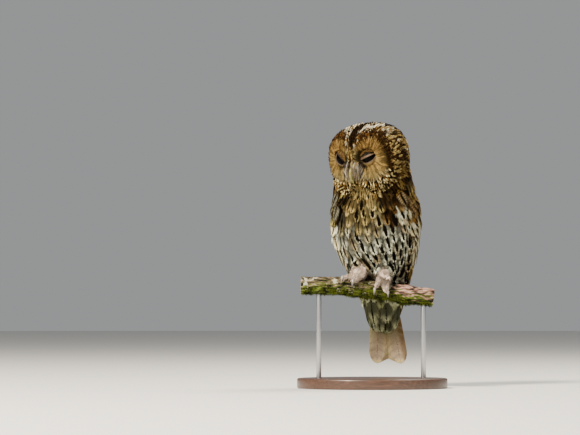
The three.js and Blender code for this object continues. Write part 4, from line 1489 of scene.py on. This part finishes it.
class OWL_OT_ruff(bpy.types.Operator):
    """Set rows of short stiff feathers round both facial discs, dark above and flecked with cream below"""

    bl_idname = "owl.ruff"
    bl_label = "Ruff"

    def execute(self, context):
        skin = Skin("skin")
        coat = Coat(skin, 25)
        dark, warm, cream, buff = map(tone, ("dark", "rufous", "cream", "breast"))
        flecks = (mix(cream, WHITE, 0.1), dark, mix(dark, warm, 0.5), mix(buff, warm, 0.4))
        gap = 3.1  # degrees between neighbours in a row
        roots, ground, sizes = [], [], []
        for sign in (1, -1):
            for row, reach in enumerate(np.arange(0.66, 1.1, 0.07)):
                for degrees in np.arange(-30.0, 252.0, gap):
                    turn = math.radians(degrees + coat.rng.normal(0, 1.2))
                    x = sign * (DISC.x + DISC_HALF[0] * reach * math.sin(turn))
                    z = DISC.z + DISC_HALF[1] * reach * math.cos(turn)
                    dice = coat.rng.random()
                    inner = mix(0.9, 0.6, float(smoothstep(110.0, 150.0, degrees)))
                    if x * sign < 0.001 or reach < inner or degrees > 205.0 and z > -0.026:
                        continue
                    place = skin.behind(Vector((x, -0.12, z)))
                    if place is None:
                        continue
                    low = degrees > 105.0
                    if low:
                        colour = flecks[(row + int(degrees / gap)) % 2 if dice < 0.6 else 1 + int(dice * 40) % 3]
                    elif degrees > 30.0:
                        gold = reach > 0.98 and dice > 0.55 and degrees > 60.0
                        colour = mix(cream, buff, dice) * 0.8 if gold else mix(dark, warm, 0.12)
                    else:
                        colour = mix(dark, warm, 0.15 + 0.5 * (dice > 0.75))
                    roots.append(place)
                    ground.append(np.append(colour, 0.0))
                    sizes.append(5.0 if low else 7.0)
        count = len(roots)
        length = np.array(sizes) * np.clip(coat.rng.normal(1.0, 0.1, count), 0.8, 1.2) * MM
        lines, normals = skin.follow(np.array(roots), outwards, length)
        # Painted shade: each ruff feather darkens to half its colour towards the root, among its neighbours.
        paint = plain(np.array(ground), np.append(dark, 0.0), (0.6, 0.2), (1.0, 0.5))
        lift = (0.0008, np.full(count, 3.6 * MM))
        coat.lay(lines, normals, length, length * 0.24, lift, pinnate(14, 4.6, fine=True), paint)
        coat.piece("feathers_ruff", "face", feather_material("stiff ruff feathers"))
        return {"FINISHED"}


class OWL_OT_bill_bristles(bpy.types.Operator):
    """Set stiff grey bristles beside the bill that sweep forwards over its upper half"""

    bl_idname = "owl.bill_bristles"
    bl_label = "Bill bristles"

    def execute(self, context):
        skin = Skin("skin")
        coat = Coat(skin, 27)
        rng = coat.rng
        count = 460
        share = np.linspace(0.0, 1.0, 7)[:, None]
        lines, normals = [], []
        for k in range(count):
            sign = 1 if k % 2 else -1
            x = rng.uniform(2.0, 11.0)
            z = rng.uniform(-4.0, 9.0) if x < 4.0 else rng.uniform(-17.0, 6.0)
            # From its root on the skin, each bristle bulges forwards and ends beside the bill's ridge, in mm.
            start = into(HEAD, np.array(skin.behind(Vector((sign * x, -120.0, z)) * MM))[None])[0] / MM
            spread = max(0.0, x - 4.0)
            lowest = -7.0 - 4.5 * min(x, 4.0)
            tip = np.array([
                sign * (0.8 + 0.75 * min(x, 4.0) + 0.8 * spread), -63.0 + 0.9 * spread,
                max(z - rng.uniform(11.0, 15.0), lowest + rng.uniform(-1.5, 1.5)),
            ])
            bulge = np.array([sign * 1.0, -6.5 + 0.4 * spread, 1.0]) + (start + tip) / 2
            line = (start * (1 - share) ** 2 + 2 * bulge * share * (1 - share) + tip * share**2) * MM
            lines.append(out_of(HEAD, line))
            normals.append(np.repeat(turned(HEAD, unit(np.array([[sign * 0.5 * x / 4.0, -1.0, 0.2]]))), 7, 0))
        lines, normals = np.array(lines), np.array(normals)
        length = np.linalg.norm(np.diff(lines, axis=1), axis=2).sum(1)
        grey, dark, buff = map(tone, ("bristle", "dark", "face"))
        dice = rng.random(count)[:, None]
        ground = mix(mix(grey, dark, 0.8), mix(grey, WHITE, 0.15), smoothstep(0.3, 0.9, dice))
        ground = mix(ground, buff * 0.7, (rng.random((count, 1)) > 0.65) * 0.7)
        paint = plain(rows(ground, np.zeros((count, 1))), np.append(dark, 0.0))
        coat.lay(lines, normals, length, np.full(count, 0.3 * MM), (0.0, np.zeros(count)), bristle(), paint)
        coat.piece("bristles_bill", "face", feather_material("stiff bill bristles"))
        return {"FINISHED"}


class OWL_OT_leg_coat(bpy.types.Operator):
    """Cover the legs and toes with short down"""

    bl_idname = "owl.leg_coat"
    bl_label = "Leg down"

    def execute(self, context):
        coat = Coat(Skin("skin"), 31)
        cover(coat, lambda points, kinds: kinds == "leg", bristle(fine=True), deep=0.75)
        coat.piece("down_legs", "leg", feather_material("leg down"))
        return {"FINISHED"}


# ---- Operators: wings and tail ----


class OWL_OT_wings(bpy.types.Operator):
    """Lay the flight feathers, the rows of coverts and the white-edged scapulars over both wings"""

    bl_idname = "owl.wings"
    bl_label = "Wings"

    def execute(self, context):
        skin = Skin("skin")
        barred = feather_material("barred flight feathers", barred=True)
        template = pinnate(24, 4.8)
        for sign, side in ((1, "left"), (-1, "right")):
            coat = Coat(skin, 40 + sign)
            tracks = [skin.track(sign, root, tip, bow=-5.0) for root, tip, _ in FLIGHTS]
            spines = [line + normals * (0.0022 + 0.0002 * k) for k, (line, normals) in enumerate(tracks)]
            facing = [normals for _, normals in tracks]
            widths = [width * MM for _, _, width in FLIGHTS]
            coat.blades(np.array(spines), np.array(facing), np.array(widths), flight_paint(sign))
            coat.piece(f"flight_feathers_{side}", "wing", barred)
            coat = Coat(skin, 50 + sign)
            for name, (angles, heights, length, width, behind, tip) in ROWS.items():
                tracks = [
                    skin.track(sign, (angle + behind + coat.rng.normal(0, 1.0), height + length), (angle, height), 6)
                    for angle, height in zip(angles, heights)
                ]
                lines, facing = (np.array(values) for values in zip(*tracks))
                count = len(lines)
                broad = np.clip(coat.rng.normal(width, 0.4, count), 0.0, None) * MM
                forward = smoothstep(24.0 if sign > 0 else 22.0, 2.0, np.array(angles, float))
                paint, lift = covert_paint(sign, name, forward), (0.0025, np.full(count, tip * MM))
                coat.lay(lines, facing, np.full(count, length * MM), broad, lift, template, paint, camber=0.1)
            coat.piece(f"coverts_{side}", "wing", barred)
        return {"FINISHED"}


def flight_paint(sign):
    """Paint for one wing's flight feathers: brown, paler on the outer web and at the tip."""
    dark, cream, brown = map(tone, ("dark", "cream", "mantle"))

    def paint(which, across, along):
        shape = np.broadcast_shapes(which.shape, across.shape, along.shape)
        web = smoothstep(0.15, 0.5, -across * sign)[..., None]
        ground = mix(mix(brown, cream, 0.1), mix(brown, cream, 0.35), web)
        ground = ground * (1.0 + 0.25 * smoothstep(0.9, 1.0, along))[..., None]
        return with_last(ground, 0.02, shape), with_last(mix(dark, brown, 0.3), 0.8, shape)

    return paint


def covert_paint(sign, name, forward):
    """Paint for one row over one wing: brown, with white webs that widen as the row comes forward, painted
    darker on the left wing as shade, and an olive shoulder on the right. forward is each feather's share of that."""
    dark, warm, cream, white, brown = map(tone, ("dark", "rufous", "cream", "belly", "mantle"))

    def paint(which, across, along):
        across, along = np.broadcast_arrays(across, along)
        shape = across.shape
        ahead = np.broadcast_to(forward[which], shape)
        inner = 0.14 if name == "scapular" else 0.2
        web = smoothstep(inner - 0.1, inner, -across * sign)
        web = np.maximum(web, (0.85 if sign > 0 else 1.0) * ahead * smoothstep(0.1, 0.2, np.abs(across)))
        ground = mix(brown, mix(brown, warm, 0.6), (which * 0.37 % 1.0)[..., None])
        if sign < 0 and name in ("scapular", "shoulder"):
            olive = mix(dark, rgb("8f8432"), (which * 0.53 % 1.0 > 0.4)[..., None] * 1.0)
            ground = mix(ground, olive, 0.75 * ahead[..., None])
        start = 0.42 if name == "scapular" else mix(0.66, 0.42, ahead)
        pale = web * smoothstep(start, start + 0.1, along) * smoothstep(1.0, 0.95, along)
        if name == "shoulder" or sign < 0 and name == "scapular":
            pale = pale * mix(1.0, 0.15, ahead)
        tint = mix(white, mix(white, cream, 0.7), (which * 0.61 % 1.0)[..., None])
        # Painted shade: the left wing's pale webs are darkened to two thirds; the right's are raised by a quarter.
        ground = mix(ground, tint * (0.68 if sign > 0 else 1.25), pale[..., None])
        return with_last(ground, 0.2, shape), with_last(dark, 0.75 * (1.0 - 0.9 * pale), shape)

    return paint


class OWL_OT_tail(bpy.types.Operator):
    """Make the twelve tail feathers, the outermost lowest, closed under one another"""

    bl_idname = "owl.tail"
    bl_label = "Tail"

    def execute(self, context):
        coat = Coat(Skin("skin"), 61)
        # The tail leans back from its root; its underside faces forwards and down.
        lean = math.radians(16)
        turn = STANCE.to_3x3()
        down = turn @ Vector((0.0, math.sin(lean), -math.cos(lean)))
        under = turn @ Vector((0.0, -math.cos(lean), -math.sin(lean)))
        aside = turn @ Vector((1.0, 0.0, 0.0))
        root = STANCE @ Vector((0.0, 0.062, 0.014))
        spines = []
        share = np.linspace(0.0, 1.0, 13)
        for k in range(6):
            for sign in (1, -1):
                reach = (0.129 - 0.0012 * (5 - k)) / math.cos(lean)
                line = []
                for u in share:
                    out = sign * (0.002 + (0.0039 if sign > 0 else 0.0032) * k) * (0.25 + 0.75 * u)
                    depth = 0.0007 * k + 0.0018 * u * u * (k / 5) + (0.0003 if sign > 0 else 0.0)
                    line.append(root + down * (reach * u) + aside * out + under * depth)
                spines.append(line)
        facing = np.array([[under] * len(share)] * len(spines))
        widths = np.full(len(spines), 0.0135)
        coat.blades(np.array(spines), facing, widths, tail_paint, camber=0.03, reverse=(0.42, 0.33, 0.24))
        piece = coat.piece("tail_feathers", "tail", feather_material("barred tail feathers", barred=True))
        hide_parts("tail")
        return {"FINISHED"}


def tail_paint(which, across, along):
    """Grey-brown, paler at the edge and tip, with one browner feather; towards the root darker and olive, as painted
    shade and green reflected light under the branch.
    """
    grey, dark, cream, warm = map(tone, ("tail", "dark", "cream", "rufous"))
    shape = np.broadcast_shapes(which.shape, across.shape, along.shape)
    outer = np.broadcast_to(-across * np.where(which % 2 == 0, 1.0, -1.0), shape)
    along = np.broadcast_to(along, shape)
    tip = smoothstep(0.93, 0.99, along)[..., None]
    edge = smoothstep(0.62, 0.95, np.abs(outer))[..., None]
    ground = mix(grey, mix(grey, cream, 0.7), np.maximum(tip, edge * 0.6))
    # Painted shade and green reflected light under the branch: darker olive towards the root.
    ground = mix(ground, rgb("464a28"), smoothstep(0.8, 0.6, along)[..., None] * 0.8)
    brown = (smoothstep(0.3, 0.6, outer) * (which == 10))[..., None]
    ground = mix(ground, mix(dark, warm, 0.5), brown * 0.7)
    return with_last(ground, 0.03, shape), with_last(mix(grey, dark, 0.5), 0.35, shape)


# ---- Operators: perch and stand ----


def perch_centre(u):
    """The branch's axis, in metres: it runs level, dips past the feet and falls away to the right."""
    x = mix(*BRANCH_ENDS, u)
    z = 154.0 + 7.0 * (1.0 - float(smoothstep(-60.0, 0.0, x))) - 0.125 * max(0.0, x)
    return Vector((x, -14.0 + 5.0 * math.sin(x / 60.0), z)) * MM


class OWL_OT_perch(bpy.types.Operator):
    """Make the branch with its cracked bark, cut ends, a bare patch and moss underneath"""

    bl_idname = "owl.perch"
    bl_label = "Perch"

    def execute(self, context):
        relief = context.scene.owl_sizes.bark_relief

        def section(u, angle):
            centre = perch_centre(u)
            spot = Vector((centre.x, math.cos(angle) * BRANCH_RADIUS, math.sin(angle) * BRANCH_RADIUS))
            lumps = noise.noise(spot * 45.0) * 0.0012
            ridges = noise.noise(Vector((spot.x * 60, spot.y * 260, spot.z * 260)))
            fine = noise.noise(Vector((spot.x * 260, spot.y * 700, spot.z * 700)))
            crack = -relief * (1.0 - abs(ridges)) ** 3 + 0.0004 * fine
            knot = 0.003 * math.exp(-((centre.x - 0.052) / 0.011) ** 2 - (angle / 2.1 - 1.1) ** 2)
            size = BRANCH_RADIUS + 0.0002 + lumps + crack + knot
            return math.cos(angle) * size, math.sin(angle) * size

        bm = rolled(perch_centre, section, 340, 120, Vector((0.0, 1.0, 0.0)))
        ends = [face for face in bm.faces if len(face.verts) > 4]
        for face in ends:
            face.material_index = 1
        round_rims(bm, list({edge for face in ends for edge in face.edges}), 0.0006, 2)
        piece = object_from(bm, "branch", "bark", bark_material(), cut_wood_material())
        unwrap(piece)
        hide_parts("perch")
        return {"FINISHED"}


class OWL_OT_moss(bpy.types.Operator):
    """Grow small tufts of moss on the underside of the branch, and here and there on top"""

    bl_idname = "owl.moss"
    bl_label = "Moss"

    def execute(self, context):
        skin = Skin("branch")
        coat = Coat(skin, 71)
        rng = coat.rng
        left, right = BRANCH_ENDS

        def mossy(points):
            x = points[:, 0]
            axis = np.array([perch_centre((along / MM - left) / (right - left)).z for along in x])
            facing = (points[:, 2] - axis) / BRANCH_RADIUS
            clump = speckle(points, 0.012, 6.0)[:, 0]
            middle = smoothstep(-0.07, -0.03, x) * smoothstep(0.045, 0.03, x)
            return (facing + 2.2 * (0.5 - clump) < -0.35 + 0.75 * middle) & (x > -0.108) & (x < 0.092)

        def loose(points):
            return rng.normal(0.0, 1.0, points.shape) * (1.0, 1.0, 0.5) + (0.0, 0.0, -0.4)

        roots = skin.scatter(rng, mossy, lambda points: np.full(len(points), 0.00135))
        count = len(roots)
        length = np.clip(rng.normal(3.4, 0.9, count), 1.6, 6.0) * MM
        lines, normals = skin.follow(roots, loose, length, 3)
        clump = smoothstep(0.35, 0.65, speckle(roots, 0.006, 2.0))
        moss = tone("moss")
        light = np.clip(0.7 * clump + 0.3 * rng.random((count, 1)), 0, 1) ** 1.8
        ground = rows(mix(moss * 0.08, mix(moss * 1.3, rgb("a8ad3c"), 0.35), light), np.zeros((count, 1)))
        # Painted shade: each tuft darkens to under a third of its colour towards its root, inside the clump.
        paint = plain(ground, np.zeros(4), (0.0, 0.8), (0.3, 1.1))
        coat.lay(lines, normals, length, np.full(count, 0.4 * MM), (0.0, length * 0.8), bristle(), paint)
        coat.piece("moss", "bark", feather_material("moss leaves"))
        return {"FINISHED"}


class OWL_OT_stand(bpy.types.Operator):
    """Make the smooth oval base and the two steel rods that carry the branch"""

    bl_idname = "owl.stand"
    bl_label = "Stand"

    def execute(self, context):
        steel = steel_material()
        for node, name, slot, made, segments, rim, steps in (
            ("stand_base", "stand_board", "stand_board", board_material(), 128, 0.0025, 5),
            ("stand_rod_1", "stand_rod_1_bar", "stand_steel", steel, 48, 0.0004, 3),
            ("stand_rod_2", "stand_rod_2_bar", "stand_steel", steel, 48, 0.0004, 3),
        ):
            low, high = (Vector(corner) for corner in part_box(node))
            centre, half = (low + high) / 2, (high - low) / 2
            bm = bmesh.new()
            bmesh.ops.create_circle(bm, cap_ends=True, segments=segments, radius=half.x)
            if node == "stand_base":
                bmesh.ops.scale(bm, vec=(1.0, half.y / half.x, 1.0), verts=bm.verts)
            raised = bmesh.ops.extrude_face_region(bm, geom=bm.faces[:])["geom"]
            raised = [g for g in raised if isinstance(g, bmesh.types.BMVert)]
            bmesh.ops.translate(bm, vec=(0.0, 0.0, high.z - low.z), verts=raised)
            bmesh.ops.recalc_face_normals(bm, faces=bm.faces)
            round_rims(bm, [e for e in bm.edges if e.calc_face_angle(0.0) > 1.0], rim, steps)
            bmesh.ops.translate(bm, vec=(centre.x, centre.y, low.z), verts=bm.verts)
            piece = object_from(bm, name, slot, made)
            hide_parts(node)
        return {"FINISHED"}


# ---- Operators: the stage ----


class OWL_OT_stage(bpy.types.Operator):
    """Make the pale floor, the soft lights and the camera"""

    bl_idname = "owl.stage"
    bl_label = "Stage"

    def execute(self, context):
        scene = context.scene
        bm = bmesh.new()
        bmesh.ops.create_circle(bm, cap_ends=True, segments=96, radius=12.0)
        made, _, _ = material("matt painted floor", Roughness=0.85, Base_Color=linear("d9d8d4"))
        floor = object_from(bm, "floor", None, made)
        scene.world = bpy.data.worlds.new("studio")
        scene.world.use_nodes = True
        link(scene.world.node_tree.nodes["Background"], {"Color": linear("e3e5e6"), "Strength": 0.42})
        for name, place, size, power, colour in (
            ("key", (-1.8, -2.3, 2.5), 0.6, 445.0, "fff3e2"),
            ("fill", (2.0, -2.4, 0.9), 1.8, 7.0, "eef3ff"),
            ("rim", (1.0, 0.7, 2.6), 1.0, 90.0, "fff8ea"),
        ):
            light = bpy.data.lights.new(name, "AREA")
            light.size = size
            light.energy = power
            light.color = linear(colour)[:3]
            aimed(bpy.data.objects.new(name, light), place, (0.0, 0.0, 0.25))
        camera = bpy.data.cameras.new("camera")
        camera.lens = 158.0
        camera.sensor_width = 36.0
        scene.camera = aimed(bpy.data.objects.new("camera", camera), (-0.129, -4.0, 0.12), (-0.129, 0.0, 0.268))
        return {"FINISHED"}


def aimed(thing, place, target):
    """Puts a light or camera at a place, looking at a target."""
    thing.location = place
    thing.rotation_euler = (Vector(target) - Vector(place)).to_track_quat("-Z", "Y").to_euler()
    bpy.context.scene.collection.objects.link(thing)
    return thing


class OWL_PT_panel(bpy.types.Panel):
    """Lists the owl's pieces and settings"""

    bl_idname = "OWL_PT_panel"
    bl_label = "Tawny owl"
    bl_space_type = "VIEW_3D"
    bl_region_type = "UI"
    bl_category = "Owl"

    def draw(self, context):
        for step in STEPS:
            self.layout.operator(step.bl_idname)
        for settings in (context.scene.owl_colours, context.scene.owl_sizes):
            for name in settings.bl_rna.properties.keys():
                if name not in ("rna_type", "name"):
                    self.layout.prop(settings, name)


STEPS = (
    OWL_OT_skin, OWL_OT_eyes, OWL_OT_body_coat, OWL_OT_head_coat, OWL_OT_ruff, OWL_OT_bill_bristles,
    OWL_OT_leg_coat, OWL_OT_wings, OWL_OT_tail, OWL_OT_bill, OWL_OT_claws, OWL_OT_perch, OWL_OT_moss,
    OWL_OT_stand, OWL_OT_stage,
)
CLASSES = (OwlColours, OwlSizes, *STEPS, OWL_PT_panel)


def register():
    for made in CLASSES:
        bpy.utils.register_class(made)
    bpy.types.Scene.owl_colours = bpy.props.PointerProperty(type=OwlColours)
    bpy.types.Scene.owl_sizes = bpy.props.PointerProperty(type=OwlSizes)


def unregister():
    del bpy.types.Scene.owl_colours
    del bpy.types.Scene.owl_sizes
    for made in reversed(CLASSES):
        bpy.utils.unregister_class(made)


def main():
    register()
    for step in STEPS:
        group, name = step.bl_idname.split(".")
        getattr(getattr(bpy.ops, group), name)()


if __name__ == "__main__":
    main()
